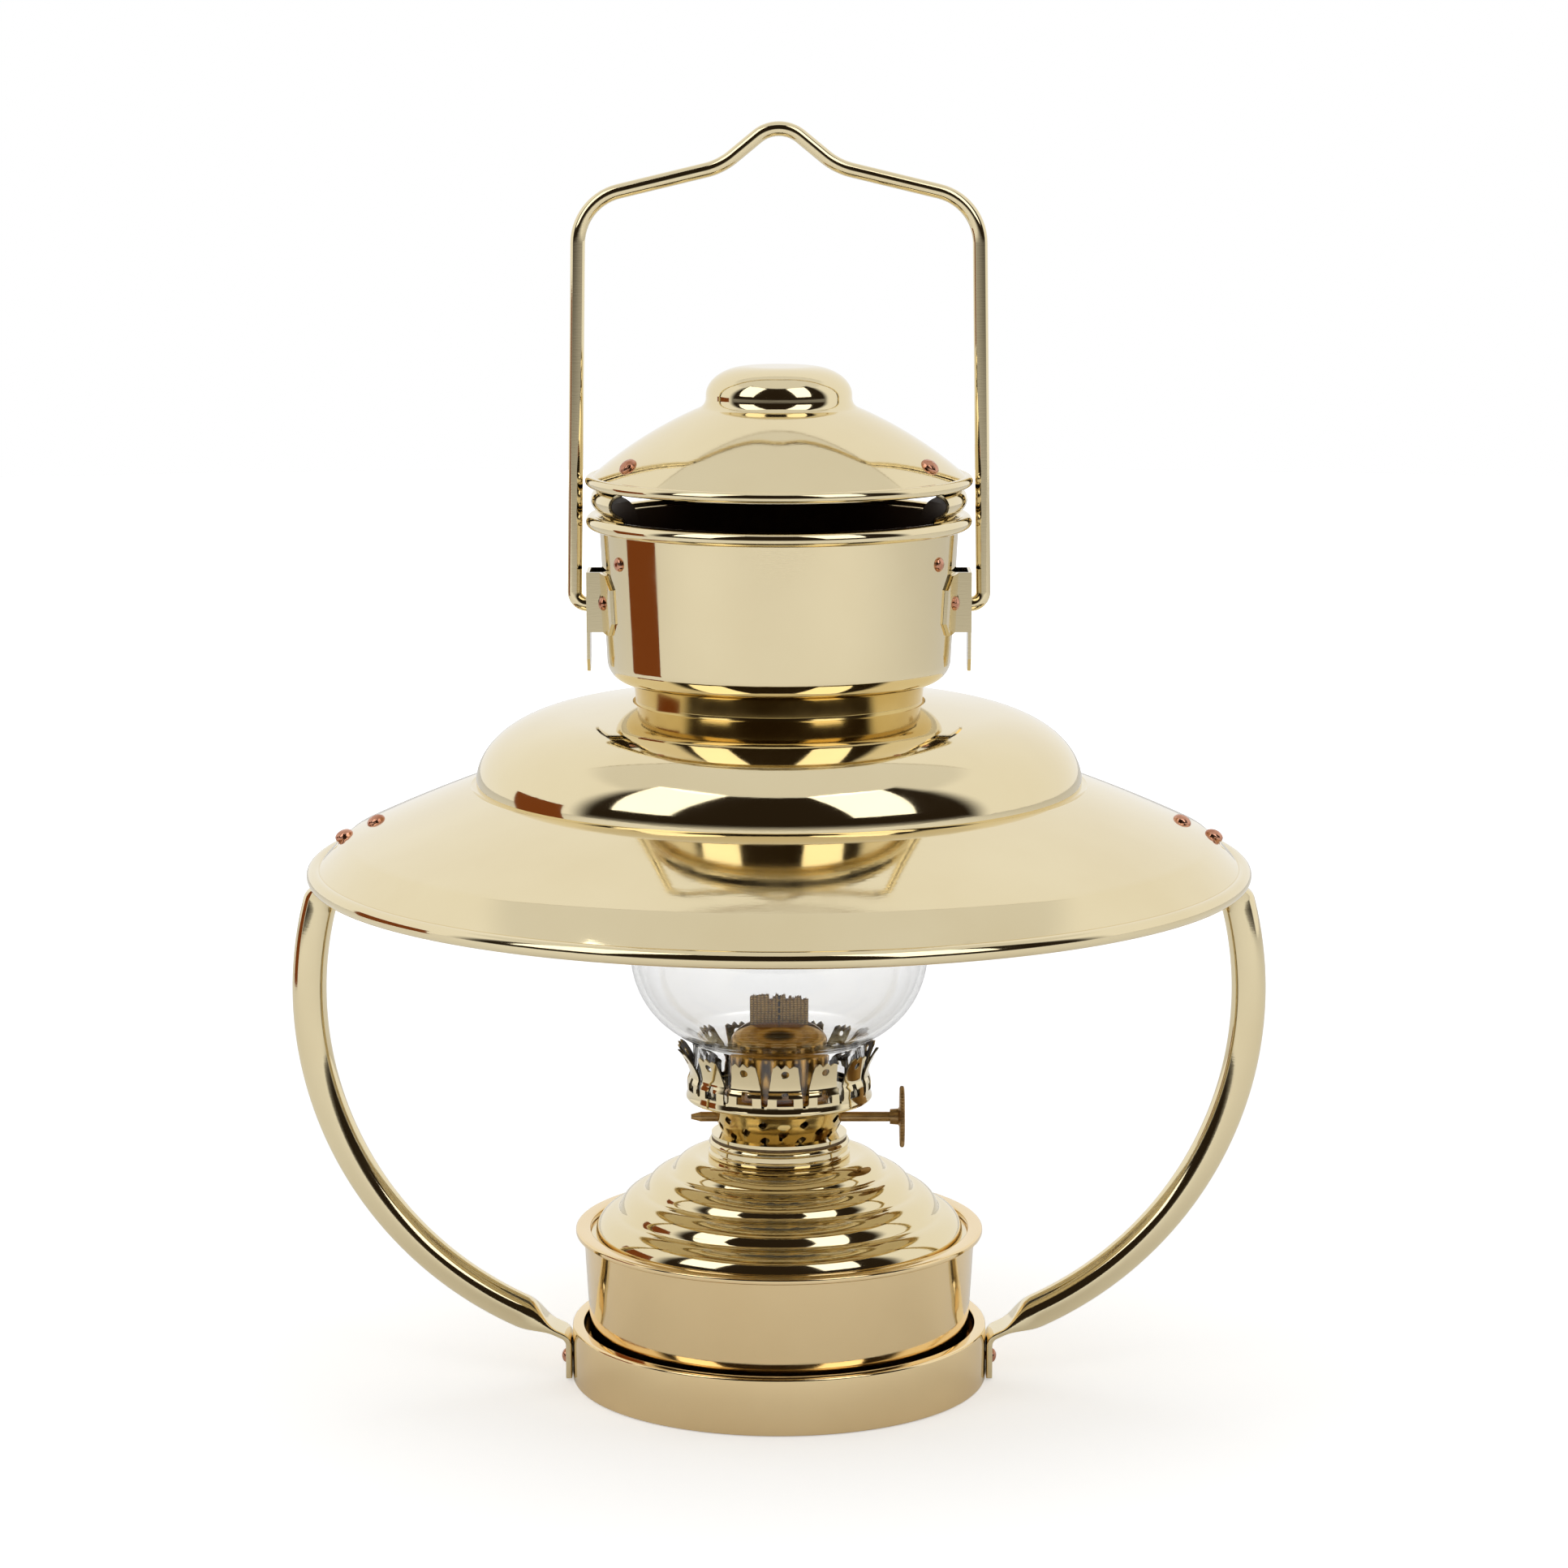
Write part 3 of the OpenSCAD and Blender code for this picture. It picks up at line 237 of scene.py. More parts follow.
def paintShadeOn(ob, isInside):
    # marks the points of a shell that lie on its inside, where painted shade darkens the brass
    mark = ob.data.attributes.new("paintedShade", "FLOAT", "POINT")
    for v in ob.data.vertices:
        mark.data[v.index].value = float(isInside(math.hypot(v.co.x, v.co.y) / mm, v.co.z / mm))


# marks the lining points of a shell for painted shade
def paintShadeOnLining(ob, lining):
    spots = {(round(p.x, 2), round(p.y, 2)) for p in lining}
    paintShadeOn(ob, lambda r, z: (round(r, 2), round(z, 2)) in spots)


def painted(ob, material):
    ob.data.materials.clear()
    ob.data.materials.append(material)


def dressed(ob, material, body, slot, *nodes):
    painted(ob, material)
    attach(ob, body)
    if nodes:
        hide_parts(*nodes)


# node helpers

def fed(tree, made, feeds):
    # inputs of a node, fed by sockets or plain values
    for key, value in feeds.items():
        if isinstance(value, bpy.types.NodeSocket):
            tree.links.new(value, made.inputs[key])
        else:
            made.inputs[key].default_value = value
    return made


def addNode(tree, kind, feeds, **settings):
    made = tree.nodes.new(kind)
    for key, value in settings.items():
        setattr(made, key, value)
    return fed(tree, made, feeds)


def outOf(tree, kind, feeds, **settings):
    # first output of a new node
    return addNode(tree, kind, feeds, **settings).outputs[0]


def calc(tree, kind, *values):
    return outOf(tree, "ShaderNodeMath", dict(enumerate(values)), operation=kind)


def objectCoord(tree):
    return tree.nodes.new("ShaderNodeTexCoord").outputs["Object"]


def noiseOf(tree, coord, scale, detail=3.0, rough=0.55, stretch=None):
    if stretch:
        coord = outOf(tree, "ShaderNodeMapping", {"Vector": coord, "Scale": stretch})
    feeds = {"Vector": coord, "Scale": scale, "Detail": detail, "Roughness": rough}
    return addNode(tree, "ShaderNodeTexNoise", feeds).outputs["Fac"]


def rampOf(tree, fac, stops):
    ramp = addNode(tree, "ShaderNodeValToRGB", {"Fac": fac})
    el = ramp.color_ramp.elements
    while len(el) < len(stops):
        el.new(0.5)
    for e, (pos, col) in zip(el, stops):
        e.position = pos
        e.color = (*col, 1)
    return ramp.outputs["Color"]


def rangeOf(tree, value, edges, to=(0.0, 1.0), blend="LINEAR"):
    feeds = {"Value": value, "From Min": edges[0], "From Max": edges[1], "To Min": to[0], "To Max": to[1]}
    return addNode(tree, "ShaderNodeMapRange", feeds, interpolation_type=blend).outputs["Result"]


def mixOf(tree, factor, a, b):
    return addNode(tree, "ShaderNodeMix", {"Factor": factor, "A": a, "B": b}, data_type="RGBA").outputs["Result"]


def bumpOf(tree, height, strength, distance, under=None):
    feeds = {"Height": height, "Strength": strength, "Distance": distance}
    if under is not None:
        feeds["Normal"] = under
    return outOf(tree, "ShaderNodeBump", feeds)


# materials

noiseSpan = (0.3, 0.7)  # where most of a noise lies
# painted shade: a near-black brass for the inner faces of the vent and the gallery
paintedShade = {"color": (0.035, 0.018, 0.008, 1), "rough": 0.4}


def newMaterial(name):
    mat = bpy.data.materials.new(name)
    mat.use_nodes = True
    return mat, mat.node_tree, mat.node_tree.nodes["Principled BSDF"]


def patchy(tree, noise, look):
    return rampOf(tree, noise, list(zip(noiseSpan, (look["dark"], look["light"]))))


def metalMaterial(name, look, withPaintedShade=False):
    mat, tree, bsdf = newMaterial(name)
    coord = objectCoord(tree)
    color = patchy(tree, noiseOf(tree, coord, look["patchScale"], 4.0), look)
    rough = rangeOf(tree, noiseOf(tree, coord, look["smearScale"], 5.0, 0.6), noiseSpan, look["roughness"])
    # painted shade mixed in on the marked inner points
    if withPaintedShade:
        mark = addNode(tree, "ShaderNodeAttribute", {}, attribute_name="paintedShade").outputs["Fac"]
        color = mixOf(tree, mark, color, paintedShade["color"])
        rough = calc(tree, "MULTIPLY_ADD", mark, paintedShade["rough"], rough)
    sway = bumpOf(tree, noiseOf(tree, coord, look["swayScale"], 1.0), look["sway"], 0.001)
    hair = noiseOf(tree, coord, look["hairScale"], 2.0, 0.5, look["hairStretch"])
    normal = bumpOf(tree, hair, look["hair"], 0.0004, sway)
    fed(tree, bsdf, {"Metallic": 1.0, "Base Color": color, "Roughness": rough, "Normal": normal})
    return mat


brassLook = {
    "dark": (0.79, 0.67, 0.42), "light": (0.84, 0.73, 0.48), "patchScale": 14.0, "smearScale": 60.0,
    "roughness": (0.04, 0.09), "swayScale": 22.0, "sway": 0.05, "hairScale": 300.0, "hairStretch": (1.0, 1.0, 9.0),
    "hair": 0.01}
warmLook = dict(brassLook, dark=(0.85, 0.65, 0.36), light=(0.91, 0.72, 0.42), roughness=(0.07, 0.13))
# darker brass: wear on the burner basket, and painted shade on the neck
wornAndShadedLook = dict(brassLook, dark=(0.60, 0.43, 0.15), light=(0.72, 0.54, 0.22), patchScale=40.0,
                roughness=(0.10, 0.18), swayScale=90.0, sway=0.06)
# darker and rougher brass for the flame dome; the darker colour is painted shade
dullLook = dict(wornAndShadedLook, dark=(0.46, 0.24, 0.05), light=(0.60, 0.35, 0.09), roughness=(0.16, 0.26))
copperLook = {
    "dark": (0.44, 0.18, 0.10), "light": (0.70, 0.37, 0.25), "patchScale": 260.0, "smearScale": 900.0,
    "roughness": (0.10, 0.22), "swayScale": 700.0, "sway": 0.25, "hairScale": 2600.0,
    "hairStretch": (1.0, 1.0, 1.0), "hair": 0.08}
bronzeLook = {
    "dark": (0.34, 0.20, 0.08), "light": (0.56, 0.37, 0.17), "patchScale": 160.0, "smearScale": 700.0,
    "roughness": (0.3, 0.5), "swayScale": 400.0, "sway": 0.1, "hairScale": 2200.0, "hairStretch": (0.2, 1.0, 1.0),
    "hair": 0.12}

brass = metalMaterial("polishedBrass", brassLook)
# brass with painted shade on the inner faces of drum, hood, vent plates and gallery
ventBrass = metalMaterial("brassWithPaintedShade", brassLook, True)
warm = metalMaterial("warmBrass", warmLook)
wornAndShadedBrass = metalMaterial("burnerBrass", wornAndShadedLook)
dull = metalMaterial("domeBrassWithPaintedShade", dullLook)
copper = metalMaterial("hammeredCopper", copperLook)
bronze = metalMaterial("dullBronze", bronzeLook)

# tints: painted shade in the glass, from the middle out to the edges
glassLook = {
    "tints": [(0.0, (0.90, 0.90, 0.895)), (0.5, (0.86, 0.86, 0.86)), (0.78, (0.64, 0.64, 0.63)),
        (1.0, (0.26, 0.26, 0.27))], "ior": 1.47, "filmScale": 40.0, "roughness": (0.0, 0.02), "swayScale": 30.0,
    "sway": 0.03}


def glassMaterial(name, look):
    # clear in the middle, with painted shade towards the edges: a grey that deepens where the surface turns away,
    # standing in for the dark surroundings the thick edges mirror and bend
    mat, tree, bsdf = newMaterial(name)
    coord = objectCoord(tree)
    facing = addNode(tree, "ShaderNodeLayerWeight", {"Blend": 0.5}).outputs["Facing"]
    film = rangeOf(tree, noiseOf(tree, coord, look["filmScale"]), noiseSpan, look["roughness"])
    sway = bumpOf(tree, noiseOf(tree, coord, look["swayScale"], 1.0), look["sway"], 0.001)
    fed(tree, bsdf, {"Base Color": rampOf(tree, facing, look["tints"]), "Transmission Weight": 1.0,
                     "IOR": look["ior"], "Roughness": film, "Normal": sway})
    return mat


wickLook = {
    "threads": [("X", 280.0, 1.2), ("Z", 420.0, 2.0)], "fuzzScale": 900.0,
    "tints": [(0.3, (0.22, 0.11, 0.02)), (0.75, (0.56, 0.33, 0.09)), (1.0, (0.90, 0.60, 0.22))],
    "stitch": (0.05, 0.03, 0.02, 1), "stitchHalf": 0.0004, "stitchLong": 0.0011, "stitchGap": 0.0003}


def wickMaterial(name, look):
    # upright warp threads, a finer weft across them, a dark dashed stitch down the middle
    mat, tree, bsdf = newMaterial(name)
    coord = objectCoord(tree)
    weave = 1.0
    for way, scale, wander in look["threads"]:
        feeds = {"Vector": coord, "Scale": scale, "Distortion": wander, "Detail": 2.0}
        wave = addNode(tree, "ShaderNodeTexWave", feeds, bands_direction=way).outputs["Fac"]
        weave = calc(tree, "MULTIPLY", weave, wave)
    weave = calc(tree, "ADD", weave, noiseOf(tree, coord, look["fuzzScale"], 5.0, 0.65))
    x, _, z = addNode(tree, "ShaderNodeSeparateXYZ", {"Vector": coord}).outputs
    near = calc(tree, "COMPARE", x, 0.0, look["stitchHalf"])
    laid = calc(tree, "GREATER_THAN", calc(tree, "PINGPONG", z, look["stitchLong"]), look["stitchGap"])
    stitch = calc(tree, "MULTIPLY", near, laid)
    fed(tree, bsdf, {"Base Color": mixOf(tree, stitch, rampOf(tree, weave, look["tints"]), look["stitch"]),
                     "Roughness": 0.95, "Normal": bumpOf(tree, weave, 0.5, 0.0004)})
    return mat


rubberLook = {"grainScale": 600.0, "dark": (0.16, 0.10, 0.045), "light": (0.26, 0.17, 0.08), "roughness": 0.7}


def rubberMaterial(name, look):
    mat, tree, bsdf = newMaterial(name)
    grain = noiseOf(tree, objectCoord(tree), look["grainScale"], 4.0)
    fed(tree, bsdf, {"Base Color": patchy(tree, grain, look), "Roughness": look["roughness"],
                     "Normal": bumpOf(tree, grain, 0.2, 0.0003)})
    return mat


glass = glassMaterial("clearGlass", glassLook)
cotton = wickMaterial("wovenWick", wickLook)
rubber = rubberMaterial("sealRubber", rubberLook)
print("materials made")


# node trees for what repeats

def newTree(name, inputs):
    tree = bpy.data.node_groups.new(name, "GeometryNodeTree")
    for way in ("OUTPUT", "INPUT"):
        tree.interface.new_socket(name="Geometry", in_out=way, socket_type="NodeSocketGeometry")
    ids = {}
    for label, kind in inputs.items():
        socket = tree.interface.new_socket(name=label, in_out="INPUT", socket_type="NodeSocket" + kind)
        ids[label] = socket.identifier
    return tree, tree.nodes.new("NodeGroupInput").outputs, ids


def closeTree(tree, geometry, material):
    real = outOf(tree, "GeometryNodeRealizeInstances", {"Geometry": geometry})
    paint = outOf(tree, "GeometryNodeSetMaterial", {"Geometry": real, "Material": material})
    addNode(tree, "NodeGroupOutput", {"Geometry": paint})


def bakedTree(ob, tree, ids, values, sharp=40):
    # runs a tree on an object and keeps the result as a plain mesh
    mod = ob.modifiers.new(tree.name, "NODES")
    mod.node_group = tree
    for label, value in values.items():
        mod[ids[label]] = value
    return bakedModifiers(ob, sharp)


def bakedModifiers(ob, sharp=40):
    bpy.context.view_layer.update()
    deps = bpy.context.evaluated_depsgraph_get()
    me = bpy.data.meshes.new_from_object(ob.evaluated_get(deps), depsgraph=deps)
    ob.modifiers.clear()
    old = ob.data
    ob.data = me
    me.name = ob.name
    bpy.data.meshes.remove(old)
    me.shade_smooth()
    me.set_sharp_from_angle(angle=math.radians(sharp))
    return ob

rivetGrid = {"around": 28, "rings": 14, "shank": 20, "dentScale": 520.0}


def rivetTree(s):
    # a domed head, a shank and a hammered tail at each point, turned to the point's axis
    tree, gin, ids = newTree("rivetSet", {
        "Head diameter": "Float", "Head height": "Float", "Shank diameter": "Float", "Grip": "Float",
        "Dents": "Float", "Seed": "Int", "Material": "Material"})

    def times(label, factor):
        return calc(tree, "MULTIPLY", gin[label], factor)

    def vector(**ends):
        return outOf(tree, "ShaderNodeCombineXYZ", ends)

    def moved(mesh, **feeds):
        return outOf(tree, "GeometryNodeTransform", {"Geometry": mesh, **feeds})

    def ball(height, low):
        wide = times("Head diameter", 0.5)
        sphere = outOf(tree, "GeometryNodeMeshUVSphere", {"Segments": s["around"], "Rings": s["rings"], "Radius": 1.0})
        return moved(sphere, Scale=vector(X=wide, Y=wide, Z=height), Translation=low)

    head = ball(gin["Head height"], (0.0, 0.0, 0.0))
    tail = ball(times("Head height", 0.5), vector(Z=times("Grip", -1.0)))
    feeds = {"Vertices": s["shank"], "Radius": times("Shank diameter", 0.5), "Depth": gin["Grip"]}
    shank = moved(outOf(tree, "GeometryNodeMeshCylinder", feeds), Translation=vector(Z=times("Grip", -0.5)))
    rivet = addNode(tree, "GeometryNodeJoinGeometry", {})
    for part in (head, tail, shank):
        fed(tree, rivet, {"Geometry": part})
    axis = addNode(tree, "GeometryNodeInputNamedAttribute", {"Name": "axis"}, data_type="FLOAT_VECTOR")
    align = outOf(tree, "FunctionNodeAlignRotationToVector", {"Vector": axis.outputs["Attribute"]}, axis="Z")
    points = outOf(tree, "GeometryNodeMeshToPoints", {"Mesh": gin["Geometry"]})
    feeds = {"Points": points, "Instance": rivet.outputs["Geometry"], "Rotation": align}
    placed = outOf(tree, "GeometryNodeInstanceOnPoints", feeds)
    real = outOf(tree, "GeometryNodeRealizeInstances", {"Geometry": placed})

    # hammer marks
    where = outOf(tree, "GeometryNodeInputPosition", {})
    feeds = {"Vector": where, "W": gin["Seed"], "Scale": s["dentScale"], "Detail": 1.0}
    noise = addNode(tree, "ShaderNodeTexNoise", feeds, noise_dimensions="4D").outputs["Color"]
    centred = outOf(tree, "ShaderNodeVectorMath", {0: noise, 1: (0.5, 0.5, 0.5)}, operation="SUBTRACT")
    dents = outOf(tree, "ShaderNodeVectorMath", {0: centred, "Scale": gin["Dents"]}, operation="SCALE")
    dented = outOf(tree, "GeometryNodeSetPosition", {"Geometry": real, "Offset": dents})
    closeTree(tree, dented, gin["Material"])
    return tree, ids


def ringTree():
    # copies of a mesh spaced evenly round the lamp axis
    tree, gin, ids = newTree("roundTheAxis", {"Count": "Int", "Start angle": "Float", "Material": "Material"})
    points = outOf(tree, "GeometryNodePoints", {"Count": gin["Count"]})
    index = outOf(tree, "GeometryNodeInputIndex", {})
    step = calc(tree, "DIVIDE", 2 * math.pi, gin["Count"])
    spin = outOf(tree, "ShaderNodeCombineXYZ", {"Z": calc(tree, "MULTIPLY_ADD", index, step, gin["Start angle"])})
    feeds = {"Points": points, "Instance": gin["Geometry"], "Rotation": spin}
    closeTree(tree, outOf(tree, "GeometryNodeInstanceOnPoints", feeds), gin["Material"])
    return tree, ids


rivetNodes, rivetIds = rivetTree(rivetGrid)
ringNodes, ringIds = ringTree()
print("node trees made")


def rivetPiece(name, places, sizes, node):
    me = bpy.data.meshes.new(name)
    me.from_pydata([Vector(p) * mm for p, _ in places], [], [])
    attr = me.attributes.new("axis", "FLOAT_VECTOR", "POINT")
    for i, (_, axis) in enumerate(places):
        attr.data[i].vector = Vector(axis).normalized()
    ob = objectFrom(me, name)
    bakedTree(ob, rivetNodes, rivetIds, {
        "Head diameter": sizes["head"] * mm, "Head height": sizes["height"] * mm,
        "Shank diameter": sizes["shank"] * mm, "Grip": sizes["grip"] * mm,
        "Dents": sizes["dents"] * mm, "Seed": sizes["seed"], "Material": copper}, 60)
    dressed(ob, copper, "frame", "copper", node)


def ringOf(ob, count, start):
    return bakedTree(ob, ringNodes, ringIds, {"Count": count, "Start angle": start, "Material": brass})


def cutBy(ob, cutter):
    mod = ob.modifiers.new("cut", "BOOLEAN")
    mod.operation = "DIFFERENCE"
    mod.solver = "EXACT"
    mod.use_self = True
    mod.object = cutter
    bakedModifiers(ob, 32)
    old = cutter.data
    bpy.data.objects.remove(cutter)
    bpy.data.meshes.remove(old)


def prismInto(bm, outline, r0, r1, trueAt):
    # outline of (sideways, z) in mm pushed from radius r0 to r1 along +X, of true width at one radius
    near = [bm.verts.new((r0 * mm, s * mm * r0 / trueAt, z * mm)) for s, z in outline]
    far = [bm.verts.new((r1 * mm, s * mm * r1 / trueAt, z * mm)) for s, z in outline]
    bm.faces.new(near[::-1])
    bm.faces.new(far)
    bridgeInto(bm, near, far)


def cutterFrom(bm, name):
    bmesh.ops.recalc_face_normals(bm, faces=bm.faces)
    me = bpy.data.meshes.new(name)
    bm.to_mesh(me)
    bm.free()
    return objectFrom(me, name)


# shade: sloping crown, raised bulge, sharp crease, flange and a rolled rim
shadeSizes = {
    "hole": 44.37, "crownR": (50.0, 57.0), "bulgeC": (58.0, 187.5), "bulge": (34.0, 22.0), "crownA": 78.0,
    "creaseA": -3.0, "creaseBow": -0.2, "flangeIn": (93.6, 186.5), "flangeBow": 0.45, "flangeOut": (133.0, 169.8),
    "flangeSlope": 24.8, "edge": 131.5, "edgeBow": 0.14, "rim": (141.0, 160.4), "rimR": 2.5, "rimJoin": (-1.0, 1.9),
    "sheet": 0.9}


def flangeZ(r):
    x, z = shadeSizes["flangeOut"]
    return z + (x - r) * math.tan(math.radians(shadeSizes["flangeSlope"]))


def crownZ(r):
    s = shadeSizes
    a = math.radians(s["crownA"])
    edge = Vector(s["bulgeC"]) + Vector((s["bulge"][0] * math.cos(a), s["bulge"][1] * math.sin(a)))
    return edge.y + (edge.x - r) * (s["bulge"][1] / s["bulge"][0] / math.tan(a))


def makeShade(s):
    bulge = ellipseArc(s["bulgeC"], *s["bulge"], s["crownA"], s["creaseA"], 44)
    rim = Vector(s["rim"])
    crown = [(r, crownZ(r)) for r in (s["hole"], *s["crownR"])]
    edge = (s["edge"], flangeZ(s["edge"]))
    path = joined(crown, bulge, bow(bulge[-1], s["flangeIn"], s["creaseBow"], 8),
                  bow(s["flangeIn"], edge, s["flangeBow"], 24),
                  bow(edge, rim + Vector(s["rimJoin"]), s["edgeBow"], 18))
    ob = spunPiece("shadeShell", [sheetLoop(path, -s["sheet"]), circleLoop(rim, s["rimR"])], 256, 34)
    dressed(ob, brass, "frame", "brass", "shade", "shade_rim_wire")


makeShade(shadeSizes)

# neck between shade and drum, drawn in a little at its foot
neckSizes = {
    "r": 44.2, "lip": 48.2, "lipT": 1, "under": 0.96, "sleeve": 42.95, "bore": 41.95, "taper": 0.7, "hollow": 0.12,
    "foot": 0.5, "drumZ": 218.17, "gap": 0.02, "curl": (2, 1), "sheet": 0.9}


def makeNeck(s):
    foot, floor = crownZ(s["r"]) + s["foot"], s["drumZ"] + s["sheet"]
    low, top = crownZ(s["lip"]) - s["under"], s["drumZ"] - s["gap"]
    out, up = s["curl"]
    loop = joined([(s["bore"], low - s["lipT"]), (s["lip"], low - s["lipT"]), (s["lip"], low),
                   (s["r"], crownZ(s["r"]) - s["under"])],
                  bow((s["r"] - s["taper"], foot), (s["r"], top), s["hollow"], 12),
                  [(s["sleeve"], top), (s["sleeve"], floor), (s["sleeve"] + out, floor),
                   (s["sleeve"] + out, floor + up), (s["bore"], floor + up)])
    # the darker brass on the neck is painted shade
    dressed(spunPiece("neckCollar", [loop], 160), wornAndShadedBrass, "frame", "brass", "neck_collar")


makeNeck(neckSizes)

# drum: curved foot, slightly flared wall, rolled rim
drumSizes = {
    "hole": 43.0, "z": 218.17, "footR": 52.0, "corner": 6.5, "footBow": 0.28, "topR": 54.2, "rimZ": 266.67,
    "wallZ": 12, "beadR": 2.2, "bead": 56.0, "sheet": 0.9, "shadeFrom": 0.5, "shadeFloor": (44, 5)}


def drumR(z):
    s = drumSizes
    foot = s["z"] + s["corner"]
    return s["footR"] + (z - foot) * (s["topR"] - s["footR"]) / (s["rimZ"] - foot)


def makeDrum(s):
    z, wall = s["z"], s["rimZ"] - s["wallZ"]
    foot = bow((s["footR"] - s["corner"], z), (s["footR"], z + s["corner"]), -s["corner"] * s["footBow"], 20)
    path = joined([(s["hole"], z)], foot, [(drumR(wall), wall), (s["topR"], s["rimZ"])])
    ob = spunPiece("drumShell", [sheetLoop(path, s["sheet"]), circleLoop((s["bead"], s["rimZ"]), s["beadR"])], 200)
    floorR, floorH = s["shadeFloor"]

    # points on the drum's inner face, which get painted shade
    def isInside(r, h):
        off = s["shadeFrom"]
        return h > z + off and r < min(drumR(h), s["topR"]) - off and (r < floorR or h > z + floorH)

    paintShadeOn(ob, isInside)
    dressed(ob, ventBrass, "frame", "brass", "drum")


makeDrum(drumSizes)

# hood: boss on a shallow cone, rolled rim
hoodSizes = {
    "top": 312.97, "flat": 9.0, "bossR": 22.0, "bossZ": 304.27, "bossFoot": 3.1, "bossBow": -0.54,
    "coneTop": (24.0, 300.47), "coneFoot": (56.4, 279.97), "sag": 1.5, "bead": (56.7, 278.87), "beadR": 1.7,
    "sheet": 0.9}


def makeHood(s):
    path = joined([(0, s["top"])],
                  ellipseArc((s["flat"], s["bossZ"]), s["bossR"] - s["flat"], s["top"] - s["bossZ"], 90, 0, 30),
                  bow((s["bossR"], s["coneTop"][1] + s["bossFoot"]), s["coneTop"], s["bossBow"], 10),
                  bow(s["coneTop"], s["coneFoot"], s["sag"], 40))
    inner = [Vector((0, s["top"] - s["sheet"]))] + sidePath(path, -s["sheet"])[1:]
    ob = spunPiece("hoodShell", [path + inner[::-1], circleLoop(s["bead"], s["beadR"])], 200)
    # painted shade on the hood's inner face
    paintShadeOnLining(ob, inner)
    dressed(ob, ventBrass, "frame", "brass", "hood")


def hoodPoint(r, depth=0.0):
    # point at a radius on or under the cone, and the way out of it
    o, big = arcOf(Vector(hoodSizes["coneTop"]), Vector(hoodSizes["coneFoot"]), hoodSizes["sag"])
    n = Vector((r - o.x, math.sqrt(big * big - (r - o.x) ** 2))).normalized()
    return o + n * (big - depth), n


makeHood(hoodSizes)

# hood supports: bowed plates that close the sides of the vent
supportSizes = {
    "half": 34.0, "waist": 27.5, "waistZ": 6.0, "plate": 1.0, "wallZ": (249.0, 255.0, 262.7), "wallR": 52.95,
    "lipZ": 269.3, "topZ": 277.2, "bulge": 0.48, "skin": 0.95, "tabIn": 1.2, "tabDrop": 1.6, "cols": 20}


def makeSupport(name, node, turn, s):
    inside = [Vector((drumR(z) - s["skin"], z)) for z in s["wallZ"]]
    r, tall, mid = s["wallR"], s["topZ"] - s["lipZ"], (s["lipZ"] + s["topZ"]) / 2
    hump = bow((r, s["lipZ"]), (r, s["topZ"]), -s["bulge"] * tall, 24)
    under = [hoodPoint(r - s["tabIn"] - k, s["skin"])[0] for k in range(5)]
    path = eased(joined(inside, hump, [(r, hoodPoint(r, s["skin"])[0].y - s["tabDrop"])], under), 1)
    lining = sidePath(path, s["plate"])
    bm = bmesh.new()
    sides = []
    for layer in (path, lining):
        rows = []
        for p, q in zip(path, layer):
            dip = max(0.0, 1 - ((p.y - mid) / s["waistZ"]) ** 2) ** 0.5
            half = math.radians(s["half"] - (s["half"] - s["waist"]) * dip)
            turns = [turn + half * u / s["cols"] for u in range(-s["cols"], s["cols"] + 1)]
            rows.append([bm.verts.new((q.x * mm * math.cos(a), q.x * mm * math.sin(a), q.y * mm)) for a in turns])
        sides.append(rows)
    plateInto(bm, *sides)
    ob = pieceFrom(bm, name, 34)
    # painted shade on the plate's inner face
    paintShadeOnLining(ob, lining)
    dressed(ob, ventBrass, "frame", "brass", node)


makeSupport("ventPlateRight", "hood_support_right", 0.0, supportSizes)
makeSupport("ventPlateLeft", "hood_support_left", math.pi, supportSizes)
print("upper shells made")

# base ring with its ledge
ringSizes = {
    "r": 64.0, "h": 17.7, "wall": 3.6, "ledge": 7.0, "ledgeT": 1.6, "corners": [0.3, 0.9, 0.8, 0.6, 0.4, 0.3]}


def makeBaseRing(s):
    bore = s["r"] - s["wall"]
    loop = rounded([(bore - s["ledge"], 0), (s["r"], 0), (s["r"], s["h"]), (bore, s["h"]),
                    (bore, s["ledgeT"]), (bore - s["ledge"], s["ledgeT"])], s["corners"], 5, True)
    dressed(spunPiece("baseRing", [loop], 200), warm, "frame", "brass", "base_ring")


makeBaseRing(ringSizes)

# tank: drawn cup, ribbed dome, screw collar
tankSizes = {
    "footR": 57.6, "topR": 60.3, "z": 1.6, "flangeZ": 48.0, "flangeR": 62.8, "flangeIn": 58.3, "flangeT": 2.0,
    "seatZ": 45.3, "seatIn": 54.9, "sheet": 0.9,
    "corners": [0, 2.0, 0.5, 0.75, 0.75, 0.6, 0.3, 0.2, 0.2, 0.3, 1.2, 0]}


def makeTank(s):
    z, sh, low = s["z"], s["sheet"], s["flangeZ"] - s["flangeT"]
    loop = rounded([(0, z), (s["footR"], z), (s["topR"], low), (s["flangeR"], low), (s["flangeR"], s["flangeZ"]),
                    (s["flangeIn"], s["flangeZ"]), (s["flangeIn"], s["seatZ"]), (s["seatIn"], s["seatZ"]),
                    (s["seatIn"], s["seatZ"] - sh), (s["topR"] - sh, s["seatZ"] - sh),
                    (s["footR"] - sh, z + sh), (0, z + sh)], s["corners"], 5, True)
    dressed(spunPiece("tankCup", [loop], 200), warm, "tank", "brass", "tank_body")


makeTank(tankSizes)

domeSizes = {
    "rim": 57.9, "ribR": 56.7, "seat": 46.2, "top": (24.0, 70.6), "bow": 1.5, "ribs": 4, "ribH": 2.2, "bore": 18.2,
    "sheet": 0.9}


